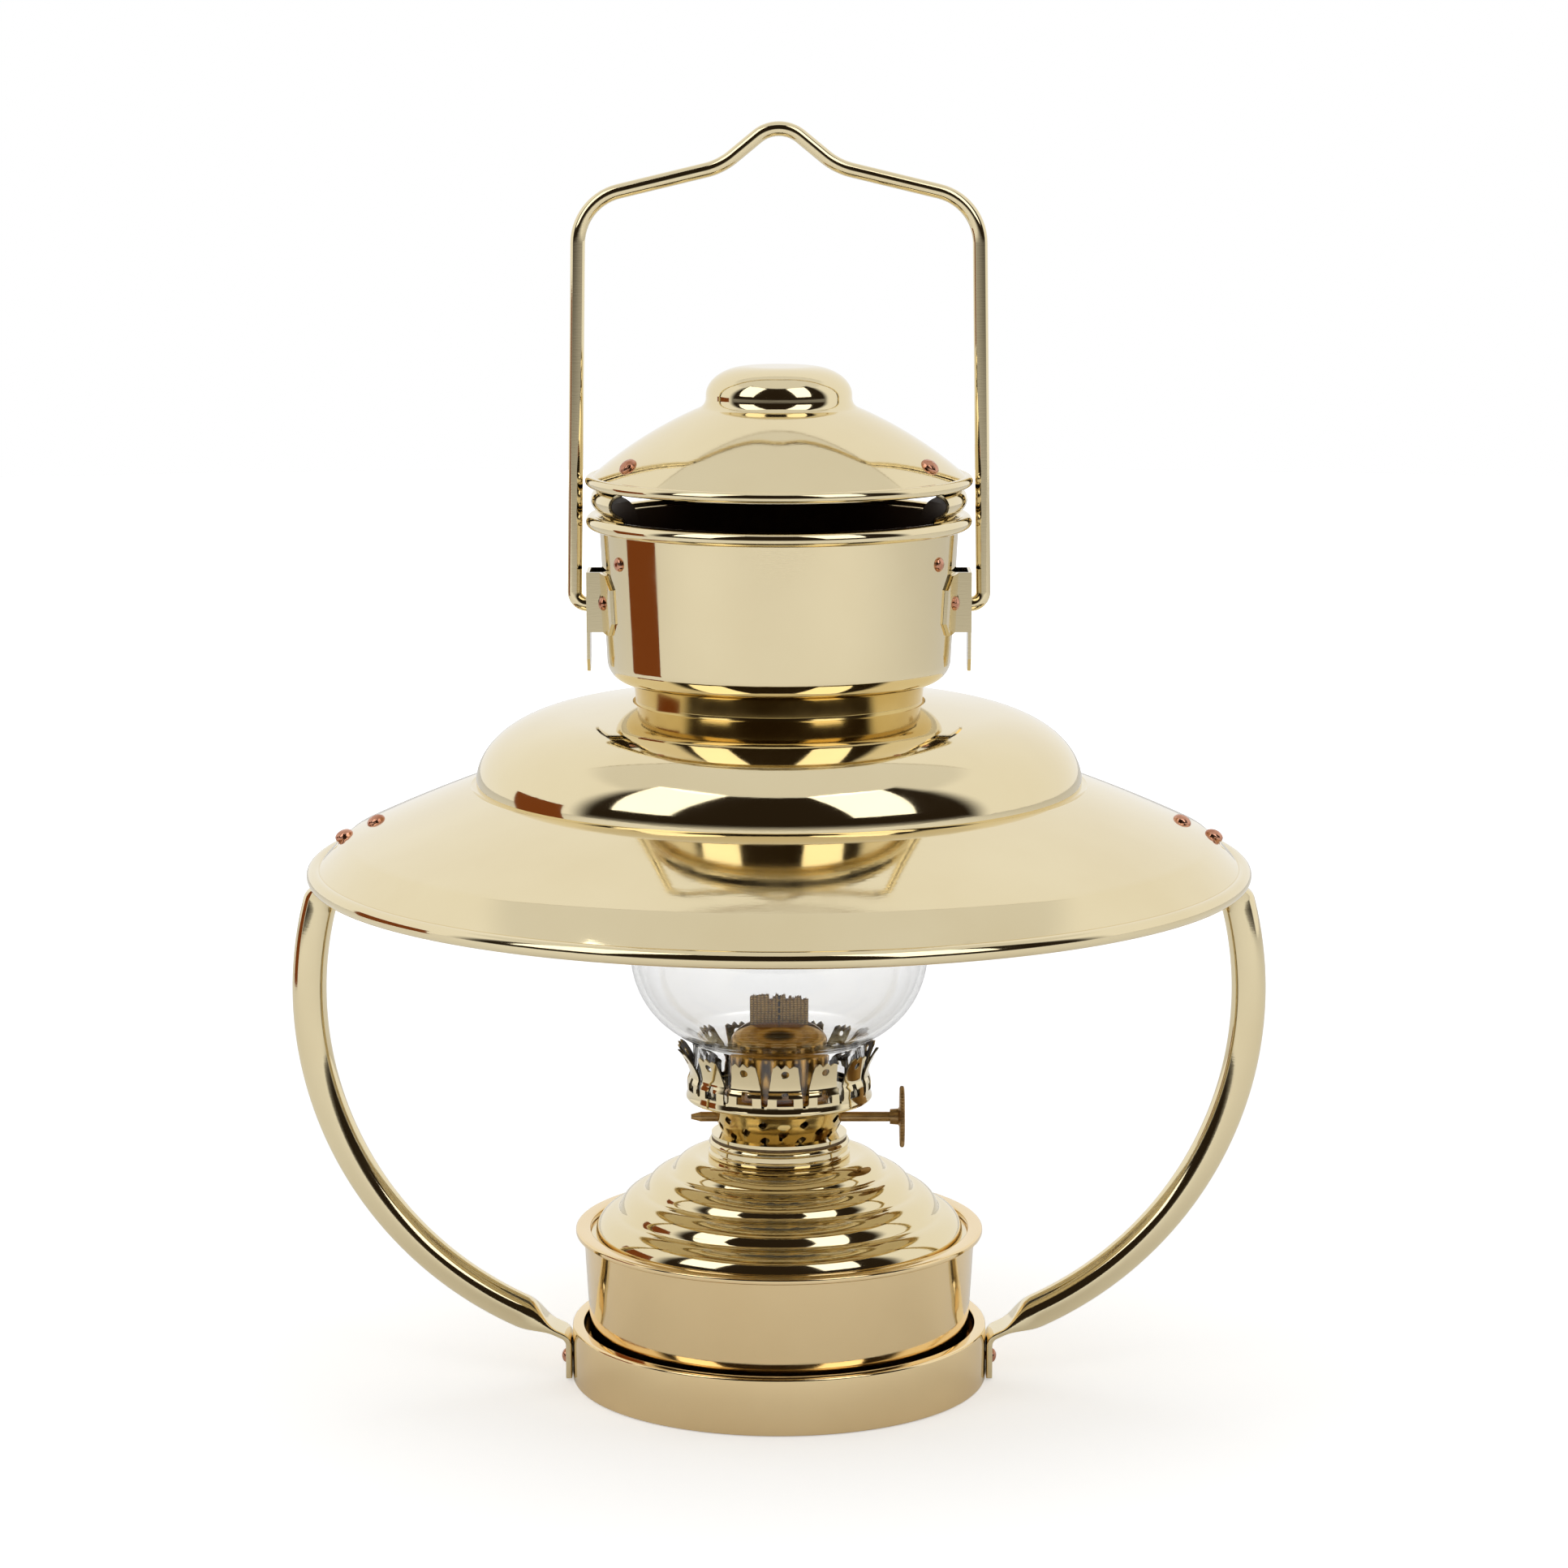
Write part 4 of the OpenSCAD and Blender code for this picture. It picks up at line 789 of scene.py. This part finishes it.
def makeDome(s):
    line = bow((s["ribR"], s["seat"]), s["top"], -s["bow"], s["ribs"])
    ribs = [bow(a, b, -s["ribH"], 14) for a, b in zip(line, line[1:])]
    path = joined([(s["rim"], s["seat"])], eased(joined(*ribs), 2), [(s["bore"], s["top"][1])])
    dressed(spunPiece("ribbedDome", [sheetLoop(path, s["sheet"])], 200), brass, "tank", "brass", "tank_dome")


makeDome(domeSizes)

collarSizes = {
    "r": 21.8, "bore": 18.2, "z": 70.6, "top": 75.8, "groove": 0.6, "bead": 1.2, "flank": 1.8,
    "corners": [0.1, 0.4, 0.4, 0.4, 0.4, 0.5, 0.4, 0.2]}


def makeCollar(s):
    r, z, top, neck = s["r"], s["z"], s["top"], s["r"] - s["groove"]
    loop = rounded([(s["bore"], z), (r, z), (r, z + s["bead"]), (neck, z + s["flank"]), (neck, top - s["flank"]),
                    (r, top - s["bead"]), (neck, top), (s["bore"], top)], s["corners"], 5, True)
    dressed(spunPiece("screwCollar", [loop], 128), brass, "tank", "brass", "tank_collar")


makeCollar(collarSizes)
print("tank made")

# arms: bowed tubes, squashed flat at both ends
armSizes = {
    "tubeR": 5.25, "arcR": 111.0, "arcC": (33.0, 121.0), "foot": (79.96, 20.4), "head": (140.2, 149.8),
    "stripT": 2.0, "stripW": 14.0, "tabX": 65.05, "tabZ": 0.6, "foldZ": 13.0, "squash": (69.25, 15.0), "bend": 3.4,
    "strapTop": (137.0, 157.0), "strapX": (134.8, 117.8), "strapDrop": 1.95, "lowOut": (3.6, 1.72),
    "lowIn": (0.906, 0.423), "lowPull": 3.6, "highOut": (-0.26, 0.966), "highIn": (-0.22, 0.975), "highPull": 2.6}


def makeArm(name, node, side, s):
    c = Vector(s["arcC"])
    a0, a1 = [math.atan2(z - c.y, x - c.x) for x, z in (s["foot"], s["head"])]
    turns = [a0 + (a1 - a0) * k / 60 for k in range(61)]
    arc = [c + Vector((math.cos(a), math.sin(a))) * s["arcR"] for a in turns]
    drop = s["strapDrop"] / math.cos(math.radians(shadeSizes["flangeSlope"]))
    strap = [(x, flangeZ(x) - drop) for x in s["strapX"]]
    tab = rounded([(s["tabX"], s["tabZ"]), (s["tabX"], s["foldZ"]), s["squash"]], [0, s["bend"], 0], 10)
    top = rounded([s["strapTop"], *strap], [0, s["bend"], 0], 10)
    low = bezier(tab[-1], arc[0], s["lowOut"], Vector(s["lowIn"]) * s["lowPull"], 16)
    high = bezier(arc[-1], top[0], Vector(s["highOut"]) * s["highPull"], Vector(s["highIn"]) * s["highPull"], 12)
    path, thin = [], []
    for run, a, b in ((tab, 0, 0), (low, 0, 1), (arc, 1, 1), (high, 1, 0), (top, 0, 0)):
        for k, p in enumerate(run):
            if path and (p - path[-1]).length < 1e-4:
                continue
            path.append(p)
            thin.append(a + (b - a) * k / (len(run) - 1))
    stations = []
    for i, p in enumerate(path):
        t = thin[i] * thin[i] * (3 - 2 * thin[i])
        stations.append((p, wayAt(path, i), s["stripT"] / 2 + (s["tubeR"] - s["stripT"] / 2) * t,
                         s["stripW"] / 2 + (s["tubeR"] - s["stripW"] / 2) * t, 8 - 6 * t))
    ob = sweptPiece(name, stations, 40)
    if side < 0:
        for v in ob.data.vertices:
            v.co.x = -v.co.x
        ob.data.flip_normals()
    dressed(ob, brass, "frame", "brass", node)


makeArm("armRight", "right_arm", 1, armSizes)
makeArm("armLeft", "left_arm", -1, armSizes)

# bail: one wire, hooked into both brackets
bailSizes = {
    "wireR": 2.2, "pin": 54.26, "legX": 61.76, "pivot": 241.17, "corner": (59.86, 361.97),
    "valley": (17.30, 372.18), "apex": (0.0, 386.36), "bends": [0, 3.7, 16.0, 20.0, 10.3]}


def makeBail(s):
    half = [(s["pin"], s["pivot"]), (s["legX"], s["pivot"]), s["corner"], s["valley"]]
    points = half + [s["apex"]] + mirrored(half)
    path = joined(rounded(points, s["bends"] + s["bends"][-2::-1], 14))
    stations = [(p, wayAt(path, i), s["wireR"], s["wireR"], 2.0) for i, p in enumerate(path)]
    dressed(sweptPiece("bailWire", stations, 24, 50), brass, "bail", "brass", "bail")


makeBail(bailSizes)
print("arms and bail made")

# copper rivets
bigRivet = {"head": 5.8, "height": 1.9, "shank": 2.5, "grip": 3.1, "dents": 0.22, "seed": 3}
smallRivet = {"head": 4.4, "height": 1.4, "shank": 2.5, "grip": 2.1, "dents": 0.2, "seed": 7}
rivetPlaces = {
    "shadeR": (132.6, 122.8), "hoodR": 50.5, "plateA": 28, "drumZ": 256.0, "bracketZ": 242.77, "bracketHalf": 11.5,
    "bracketT": 1.1, "armFoot": (66.1, 6.0)}


def around(angle, r, z, tilt):
    # place and axis of a rivet on a spun piece
    a, t = math.radians(angle), math.radians(tilt)
    place = (r * math.cos(a), r * math.sin(a), z)
    return place, (math.sin(t) * math.cos(a), math.sin(t) * math.sin(a), math.cos(t))


def pairs(reach, r, z, tilt):
    return [around(a + d, r, z, tilt) for a in (0, 180) for d in (-reach, reach)]


def makeRivets(s):
    slope = shadeSizes["flangeSlope"]
    rivetPiece("shadeRivets", [around(a, r, flangeZ(r), slope) for a in (0, 180) for r in s["shadeR"]],
               dict(bigRivet, grip=3.0), "shade_rivets")
    p, n = hoodPoint(s["hoodR"])
    rivetPiece("hoodRivets", pairs(s["plateA"], s["hoodR"], p.y, math.degrees(math.atan2(n.x, n.y))),
               dict(bigRivet, grip=2.05, seed=11), "hood_rivets")
    lean = 90 + math.degrees(math.atan(drumR(1) - drumR(0)))
    rivetPiece("drumRivets", pairs(s["plateA"], drumR(s["drumZ"]), s["drumZ"], lean),
               dict(smallRivet, grip=2.05), "drum_rivets")
    reach = math.degrees(math.asin(s["bracketHalf"] / drumR(bailSizes["pivot"])))
    rivetPiece("bracketRivets", pairs(reach, drumR(s["bracketZ"]) + s["bracketT"], s["bracketZ"], lean),
               dict(smallRivet, grip=2.05, seed=19), "bracket_rivets")
    rivetPiece("armFootRivets", [around(a, *s["armFoot"], 90) for a in (0, 180)],
               dict(smallRivet, grip=5.1, seed=23), "arm_base_rivets")


makeRivets(rivetPlaces)
print("rivets made")

# chimney
chimneySizes = {
    "footR": 26.4, "foot": 90.4, "low": 13.5, "waist": (2.6, 17.6), "bulge": (45.6, 134.0), "shoulder": (-10.5, 29),
    "neck": (3.5, 50), "topR": 22.0, "top": 240.4, "topBow": 0.9, "wall": 1.8}


def makeChimney(s):
    low = (s["footR"], s["foot"] + s["low"])
    waist = (s["footR"] + s["waist"][0], s["foot"] + s["waist"][1])
    wide = s["bulge"]
    shoulder = (wide[0] + s["shoulder"][0], wide[1] + s["shoulder"][1])
    neck = (s["topR"] + s["neck"][0], wide[1] + s["neck"][1])
    path = joined([(s["footR"], s["foot"])], uprightBow(low, waist, 1), uprightBow(waist, wide, -1),
                  uprightBow(wide, shoulder, -1), uprightBow(shoulder, neck, 1),
                  bow(neck, (s["topR"], s["top"]), s["topBow"], 24))
    path = eased(path, 6)
    inner = sidePath(path, s["wall"])
    mid = (path[-1] + inner[-1]) / 2
    lip = [mid + turned(path[-1] - mid, math.pi * k / 8) for k in range(1, 8)]
    ob = spunPiece("glassChimney", [path + lip + inner[::-1]], 200, 50)
    ob.visible_shadow = False  # clear glass lets the light through to the wick
    dressed(ob, glass, "chimney", "glass", "chimney")


makeChimney(chimneySizes)

# burner: basket with air holes, gallery with prongs, flame dome, thumb wheel, wick
basketSizes = {
    "foot": (17.5, 77.6), "top": (21.2, 86.2), "belly": 0.25, "sheet": 0.7, "holes": 10, "turn": 4.0,
    "rows": [(78.7, 4.2, 2.7, 0.5), (81.0, 3.8, 3.2, 0.0), (84.0, 3.4, 3.0, 0.5)], "skew": (0.5, 0.15, -0.3, 0.1),
    "blunt": 0.55, "cut": (14, 24, 19), "stud": (83.9, 2.2, 0.8), "sunk": 0.4}


def makeBasket(s):
    f, t = Vector(s["foot"]), Vector(s["top"])
    loop = sheetLoop([f, (f + t) / 2 + Vector((s["belly"], 0)), t], s["sheet"])
    ob = spunPiece("burnerBasket", [loop], 144)
    start = math.radians(s["turn"] - 90)
    step = 2 * math.pi / s["holes"]
    right, top, left, low = s["skew"]
    for i, (z, w, h, phase) in enumerate(s["rows"]):
        # punched holes, leaning diamonds with blunt corners
        bm = bmesh.new()
        corners = [(w / 2, right), (top, h / 2), (-w / 2, left), (low, -h / 2)]
        outline = [(x, z + y) for x, y in rounded(corners, s["blunt"], 4, True)]
        prismInto(bm, outline, *s["cut"])
        cutBy(ob, ringOf(cutterFrom(bm, "airRow" + str(i)), s["holes"], start + phase * step))
    dressed(ob, wornAndShadedBrass, "burner", "brass", "burner_basket")
    z, r, h = s["stud"]
    reach = f.x + (z - f.y) * (t.x - f.x) / (t.y - f.y) - s["sunk"]
    bm = bmesh.new()
    bmesh.ops.create_uvsphere(bm, u_segments=24, v_segments=14, radius=1.0)
    for v in bm.verts:
        v.co = Vector((v.co.x * r, v.co.z * h, v.co.y * r)) * mm
        v.co += Vector((reach * math.cos(start), reach * math.sin(start), z)) * mm
    stud = objectFrom(meshFrom(bm, "basketStud", 60), "basketStud")
    dressed(stud, wornAndShadedBrass, "burner", "brass")


makeBasket(basketSizes)

# gallery: a ring that carries the chimney, cut into hand-bent prongs
gallerySizes = {
    "floor": 90.4, "r": 28.6, "bore": 15.7, "sleeve": (20.5, 86.2), "flare": ((21.4, 86.2), (22.1, 87.4)),
    "corners": [0, 0.3, 0.2, 0.3, 0.6, 0.4, 0.4, 0.4, 0], "prongs": 14, "turn": 3.8, "top": 105.6, "wall": 28.2,
    "pinch": (27.4, 96.4), "pinchBow": -0.15, "tip": 29.6, "tipBow": 0.3, "sheet": 0.7, "cut": (23, 37, 28.4),
    "slotFoot": (0.0, 91.7),
    "slot": [(0.7, 91.9), (1.0, 92.4), (1.05, 94.0), (1.3, 96.4), (1.75, 98.8), (2.25, 102.0), (2.75, 104.4),
        (3.6, 112.0)],
    "tee": [(-2.6, 91.9), (2.6, 91.9), (2.6, 94.1), (1.0, 94.3), (1.0, 96.0), (-1.0, 96.0), (-1.0, 94.3),
        (-2.6, 94.1)], "dot": (1.25, 1.15, 101.8), "jag": (5.0, 1.25, 104.9, 0.9, 0.5), "over": 112.0, "seed": 9,
    "leans": (0.0, 0.5, 1.2, 1.8, 1.2, 0.6, 1.5, 0.4, 1.0, 1.6, 2.6, 2.8, 1.4, 0.3), "leanCurve": 1.5}


def makeGallery(s):
    fl, r, wall, sheet, pinch = s["floor"], s["r"], s["wall"], s["sheet"], s["pinch"]
    under = rounded([(s["bore"], fl - sheet), (s["sleeve"][0], fl - sheet), s["sleeve"], *s["flare"], (r - 0.5, fl - 2),
                     (r, fl - 1.4), (r, fl - 0.8), (wall, fl + 0.3)], s["corners"], 5)
    skin = eased(joined([(wall, fl + 0.3), (wall + 0.1, fl + 2.2)],
                        bow((wall + 0.1, fl + 3.6), pinch, s["pinchBow"], 8),
                        bow(pinch, (s["tip"], s["top"]), s["tipBow"], 16)), 3)
    inside = sidePath(skin, sheet)[::-1]
    loop = joined(under, skin, inside, [(wall - sheet, fl), (s["bore"], fl)])
    ob = spunPiece("prongGallery", [loop], 196, 36)

    slot = [s["slotFoot"]] + s["slot"] + mirrored(s["slot"])
    rx, rz, at = s["dot"]
    dot = [(rx * x, at + rz * y) for x, y in circle(16)]
    rng = random.Random(s["seed"])
    half, pitch, low, deep, loose = s["jag"]
    teeth = [(-half + pitch * k, low - deep * (k % 2) - rng.uniform(0, loose)) for k in range(9)]
    jag = [(-half, s["over"])] + teeth + [(half, s["over"])]
    step = 2 * math.pi / s["prongs"]
    front = math.radians(s["turn"] - 90)
    for label, outline, angle in (("slots", slot, front + step / 2), ("tees", s["tee"], front), ("dots", dot, front),
                                  ("jags", jag, front)):
        bm = bmesh.new()
        prismInto(bm, outline, *s["cut"])
        cutBy(ob, ringOf(cutterFrom(bm, label), s["prongs"], angle))

    def skinR(z):
        for a, b in zip(skin, skin[1:]):
            if a.y <= z <= b.y:
                return a.x + (b.x - a.x) * (z - a.y) / (b.y - a.y)
        return s["tip"] if z > fl + 1 else 0.0

    # painted shade on the inner faces of the prongs
    paintShadeOn(ob, lambda r, z: z > fl - 0.1 and r < skinR(z) - 0.4 * sheet)
    for v in ob.data.vertices:
        up = (v.co.z / mm - pinch[1]) / (s["top"] - pinch[1])
        if up > 0:
            k = round((math.atan2(v.co.y, v.co.x) - front) / step) % s["prongs"]
            out = Vector((v.co.x, v.co.y, 0)).normalized()
            v.co += out * (s["leans"][k] * up ** s["leanCurve"] * mm)
    dressed(ob, ventBrass, "burner", "brass", "chimney_gallery")


makeGallery(gallerySizes)

flameSizes = {
    "r": 15.1, "floor": 90.4, "h": 22.2, "shoulder": 0.62, "wallZ": 3, "flare": (2.4, 2.6), "flareBow": -0.6,
    "sheet": 0.7, "slot": 8.0, "slotIn": 0.9, "slotZ": 0.5, "over": 5}


def makeFlameDome(s):
    r, fl, top = s["r"], s["floor"], s["floor"] + s["h"]
    shoulder = fl + s["h"] * s["shoulder"]
    path = joined(ellipseArc((0, shoulder), r, top - shoulder, 84, 0, 30), [(r, fl + s["wallZ"])],
                  bow((r, fl + s["flare"][1]), (r + s["flare"][0], fl), s["flareBow"], 8))
    ob = spunPiece("flameDome", [sheetLoop(path, -s["sheet"])], 144)
    end, half = r - s["slotIn"], s["slot"] / 2
    arc = bow((-end, 0), (end, 0), half, 24) + bow((end, 0), (-end, 0), half, 24)[1:-1]
    bm = bmesh.new()
    low, high = [[bm.verts.new((p[0] * mm, p[1] * mm, z * mm)) for p in arc]
                 for z in (shoulder + s["slotZ"], top + s["over"])]
    bm.faces.new(low)
    bm.faces.new(high[::-1])
    bridgeInto(bm, high, low)
    cutBy(ob, cutterFrom(bm, "flameSlot"))
    # the flame dome's darker brass is painted shade
    dressed(ob, dull, "burner", "brass", "flame_dome")


makeFlameDome(flameSizes)

knobSizes = {
    "x": 38.4, "y": -5.5, "z": 83.45, "r": 9.4, "t": 1.4, "dish": [(0, 0.35), (3.0, 0.3), (6.0, 0.1)],
    "edge": (0.5, 0.3), "hub": 2.5, "hubFoot": (0.8, 0.5), "hubTaper": 0.2, "hubH": 3.0, "teeth": 56, "bite": 0.28,
    "knurl": 0.6}


def makeKnob(s):
    # thumb wheel with a knurled edge, dished a little towards its hub
    r, t, hub, top = s["r"], s["t"], s["hub"], s["t"] + s["hubH"]
    back, ease = s["edge"]
    wide, up = s["hubFoot"]
    outline = s["dish"] + [(r - back, 0), (r, ease), (r, t - ease), (r - back, t), (hub + wide, t), (hub, t + up),
                           (hub - s["hubTaper"], top), (0, top)]
    steps = s["teeth"] * 4
    bm = bmesh.new()
    rings = []
    for out, h in outline:
        ring = []
        for k, (y, z) in enumerate(circle(steps)):
            reach = out - (s["bite"] * (k % 4 in (2, 3)) if out > r - s["knurl"] else 0.0)
            ring.append(bm.verts.new(((s["x"] - h) * mm, (s["y"] + reach * y) * mm, (s["z"] + reach * z) * mm)))
        rings.append(ring)
    for r0, r1 in zip(rings, rings[1:]):
        bridgeInto(bm, r0, r1)
    bmesh.ops.remove_doubles(bm, verts=bm.verts, dist=1e-7)
    dressed(pieceFrom(bm, "thumbWheel", 34), bronze, "wick_wheel", "brass", "wick_knob")


makeKnob(knobSizes)

wickSizes = {
    "w": 18.0, "t": 3.0, "top": 120.8, "len": 105.0, "ribs": 18, "perRib": 6, "rows": 60, "gather": 1.6,
    "rib": 0.10, "skin": 0.12, "thinEdge": 0.35, "fringe": 1.7, "loose": 0.4, "tuftRows": 8, "seed": 5}


def makeWick(s):
    # flat woven strip: ribbed faces, frayed top edge, rows gathered towards the top
    rng = random.Random(s["seed"])
    per, rows, cols = s["perRib"], s["rows"], s["ribs"] * s["perRib"]
    strand = [rng.uniform(-1.0, 0.0) for _ in range(cols // per + 1)]
    fray = [(strand[i // per] - rng.uniform(0.0, s["loose"])) * s["fringe"] for i in range(cols + 1)]
    tuft = s["len"] * (s["tuftRows"] / rows) ** s["gather"]
    bm = bmesh.new()
    faces = []
    for sign in (-1, 1):
        grid = []
        for j in range(rows + 1):
            z = s["top"] - s["len"] * (1 - (j / rows)) ** s["gather"]
            row = []
            for i in range(cols + 1):
                u = i / cols
                edge = math.sin(math.pi * u) ** 0.25
                rib = s["rib"] * abs(math.sin(math.pi * s["ribs"] * u))
                y = sign * ((s["t"] / 2 - s["skin"]) * (s["thinEdge"] + (1 - s["thinEdge"]) * edge) + rib)
                lift = fray[i] * max(0.0, z - s["top"] + tuft) / tuft
                y += s["skin"] * lift * (i % 2)
                row.append(bm.verts.new(((u - 0.5) * s["w"] * mm, y * mm, (z + lift) * mm)))
            grid.append(row)
        faces.append(grid)
    plateInto(bm, *faces)
    dressed(pieceFrom(bm, "flatWick", 60), cotton, "wick", "wick", "wick")


makeWick(wickSizes)
print("burner made")

# nodes that keep their own shape
keptNodes = {
    "bail_bracket_left": brass, "bail_bracket_right": brass, "burner_base": brass, "wick_tube": brass,
    "wick_sprockets": brass, "wick_shaft": bronze, "burner_seal": rubber}
for nodeName, material in keptNodes.items():
    painted(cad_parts[nodeName], material)
print("kept nodes painted")

# stage, light and camera
floorSizes = {
    "r": 3.0, "front": -1.25, "z": -0.0002, "color": (0.86, 0.86, 0.86, 1), "roughness": 0.9, "seenGlow": 0.45,
    "mirroredGlow": 0.10, "fade": (0.35, 1.5), "farGlow": 0.7}


def rayShare(tree, weights):
    # one number by the kind of ray: the largest weight among the kinds that apply
    path = tree.nodes.new("ShaderNodeLightPath").outputs
    share = 0.0
    for kind, weight in weights.items():
        share = calc(tree, "MAXIMUM", share, calc(tree, "MULTIPLY", path[kind], weight))
    return share


def makeFloor(s):
    bm = bmesh.new()
    bmesh.ops.create_circle(bm, cap_ends=True, segments=96, radius=s["r"])
    for v in bm.verts:
        v.co.y = max(v.co.y, s["front"])
    floor = objectFrom(meshFrom(bm, "floor", 30), "floor")
    floor.location.z = s["z"]
    mat, tree, bsdf = newMaterial("paleFloor")
    fed(tree, bsdf, {"Base Color": s["color"], "Roughness": s["roughness"], "Specular IOR Level": 0.0})
    near = rayShare(tree, {"Is Camera Ray": s["seenGlow"], "Is Transmission Ray": s["seenGlow"],
                           "Is Glossy Ray": s["mirroredGlow"]})
    far = addNode(tree, "ShaderNodeVectorMath", {0: objectCoord(tree)}, operation="LENGTH").outputs["Value"]
    fade = rangeOf(tree, far, s["fade"], (0.0, s["farGlow"]), "SMOOTHSTEP")
    seen = rayShare(tree, {"Is Camera Ray": 1.0, "Is Transmission Ray": 1.0})
    glow = addNode(tree, "ShaderNodeEmission", {"Strength": calc(tree, "MULTIPLY_ADD", fade, seen, near)})
    both = addNode(tree, "ShaderNodeAddShader", {0: bsdf.outputs["BSDF"], 1: glow.outputs["Emission"]})
    fed(tree, tree.nodes["Material Output"], {"Surface": both.outputs["Shader"]})
    painted(floor, mat)


makeFloor(floorSizes)

boardSizes = {"turn": -98.0, "far": 0.8, "z": 0.16, "width": 0.40, "height": 0.32, "color": (0.20, 0.055, 0.014, 1)}


def makeBoard(name, s):
    # board out of sight that the polished faces mirror
    bm = bmesh.new()
    bmesh.ops.create_grid(bm, x_segments=1, y_segments=1, size=0.5)
    for v in bm.verts:
        v.co = Vector((v.co.x * s["width"], 0, v.co.y * s["height"]))
    board = objectFrom(meshFrom(bm, name, 30), name)
    a = math.radians(s["turn"])
    board.location = (s["far"] * math.sin(a), -s["far"] * math.cos(a), s["z"])
    board.rotation_euler.z = a
    mat, tree, _ = newMaterial(name)
    glow = addNode(tree, "ShaderNodeEmission", {"Color": s["color"]})
    fed(tree, tree.nodes["Material Output"], {"Surface": glow.outputs["Emission"]})
    painted(board, mat)
    board.visible_camera = board.visible_diffuse = board.visible_shadow = board.visible_transmission = False


makeBoard("brownBoard", boardSizes)

worldSizes = {
    "white": (0.95, 0.95, 0.95), "overhead": (0.80, 0.80, 0.80), "dim": (0.022, 0.015, 0.009),
    "side": (-0.28, -0.06), "low": (-0.26, 0.05), "top": (0.87, 0.89), "panelLow": (0.72, 0.80), "panelEdge": 0.563,
    "spread": 10.0, "stops": (0.44, 0.48, 0.52, 0.58), "seam": (0.40, 0.35, 0.28)}


def makeWorld(s):
    # white all round but for a dim room in front; overhead a greyer panel whose seam the flange mirrors
    world = bpy.data.worlds.new("studio")
    bpy.context.scene.world = world
    world.use_nodes = True
    tree = world.node_tree
    coord = tree.nodes.new("ShaderNodeTexCoord").outputs["Generated"]
    x, y, z = addNode(tree, "ShaderNodeSeparateXYZ", {"Vector": coord}).outputs

    def step(value, edges):
        return rangeOf(tree, value, edges, blend="SMOOTHSTEP")

    flat = calc(tree, "SQRT", calc(tree, "MULTIPLY_ADD", x, x, calc(tree, "MULTIPLY", y, y)))
    behind = step(calc(tree, "DIVIDE", y, calc(tree, "MAXIMUM", flat, 0.001)), s["side"])
    under = calc(tree, "SUBTRACT", 1.0, step(z, s["low"]))
    lit = calc(tree, "MAXIMUM", behind, calc(tree, "MAXIMUM", step(z, s["top"]), under))
    past = calc(tree, "SUBTRACT", calc(tree, "MULTIPLY", z, s["panelEdge"]), y)
    across = calc(tree, "MULTIPLY_ADD", past, s["spread"], 0.5)
    panel = rampOf(tree, across, list(zip(s["stops"], (s["white"], s["seam"], s["seam"], s["overhead"]))))
    room = mixOf(tree, lit, (*s["dim"], 1), (*s["white"], 1))
    room = mixOf(tree, calc(tree, "MULTIPLY", step(z, s["panelLow"]), lit), room, panel)
    room = mixOf(tree, rayShare(tree, {"Is Camera Ray": 1.0}), room, (1, 1, 1, 1))
    fed(tree, tree.nodes["Background"], {"Color": room, "Strength": 1.0})


makeWorld(worldSizes)

softBoxes = {
    "places": {"left": (-1.241, -0.935, 1.459), "right": (0.999, -1.190, 1.459)}, "size": (0.9, 1.7), "watts": 8.6,
    "aim": (0, 0, 0.2)}


def makeSoftBox(name, place, s):
    data = bpy.data.lights.new(name + "SoftBox", "AREA")
    data.shape = "RECTANGLE"
    data.size, data.size_y = s["size"]
    data.energy = s["watts"]
    ob = objectFrom(data, name + "SoftBox")
    ob.location = place
    aim = Vector(s["aim"]) - Vector(place)
    ob.rotation_euler = aim.to_track_quat("-Z", "Y").to_euler()


for boxName, place in softBoxes["places"].items():
    makeSoftBox(boxName, place, softBoxes)

cameraSizes = {
    "place": (0.0015, -1.337, 0.4078), "pitch": 9.42, "focalPx": 5487.0, "framePx": 1932.0, "sensor": 36.0,
    "reach": 20.0}


def makeCamera(s):
    data = bpy.data.cameras.new("photoCamera")
    data.sensor_width = s["sensor"]
    data.sensor_fit = "HORIZONTAL"
    data.lens = s["focalPx"] / s["framePx"] * s["sensor"]
    data.clip_end = s["reach"]
    ob = objectFrom(data, "photoCamera")
    ob.location = s["place"]
    ob.rotation_euler = (math.radians(90 - s["pitch"]), 0, 0)
    bpy.context.scene.camera = ob


makeCamera(cameraSizes)
bpy.context.scene.view_settings.view_transform = "Standard"
print("stage, light and camera set")
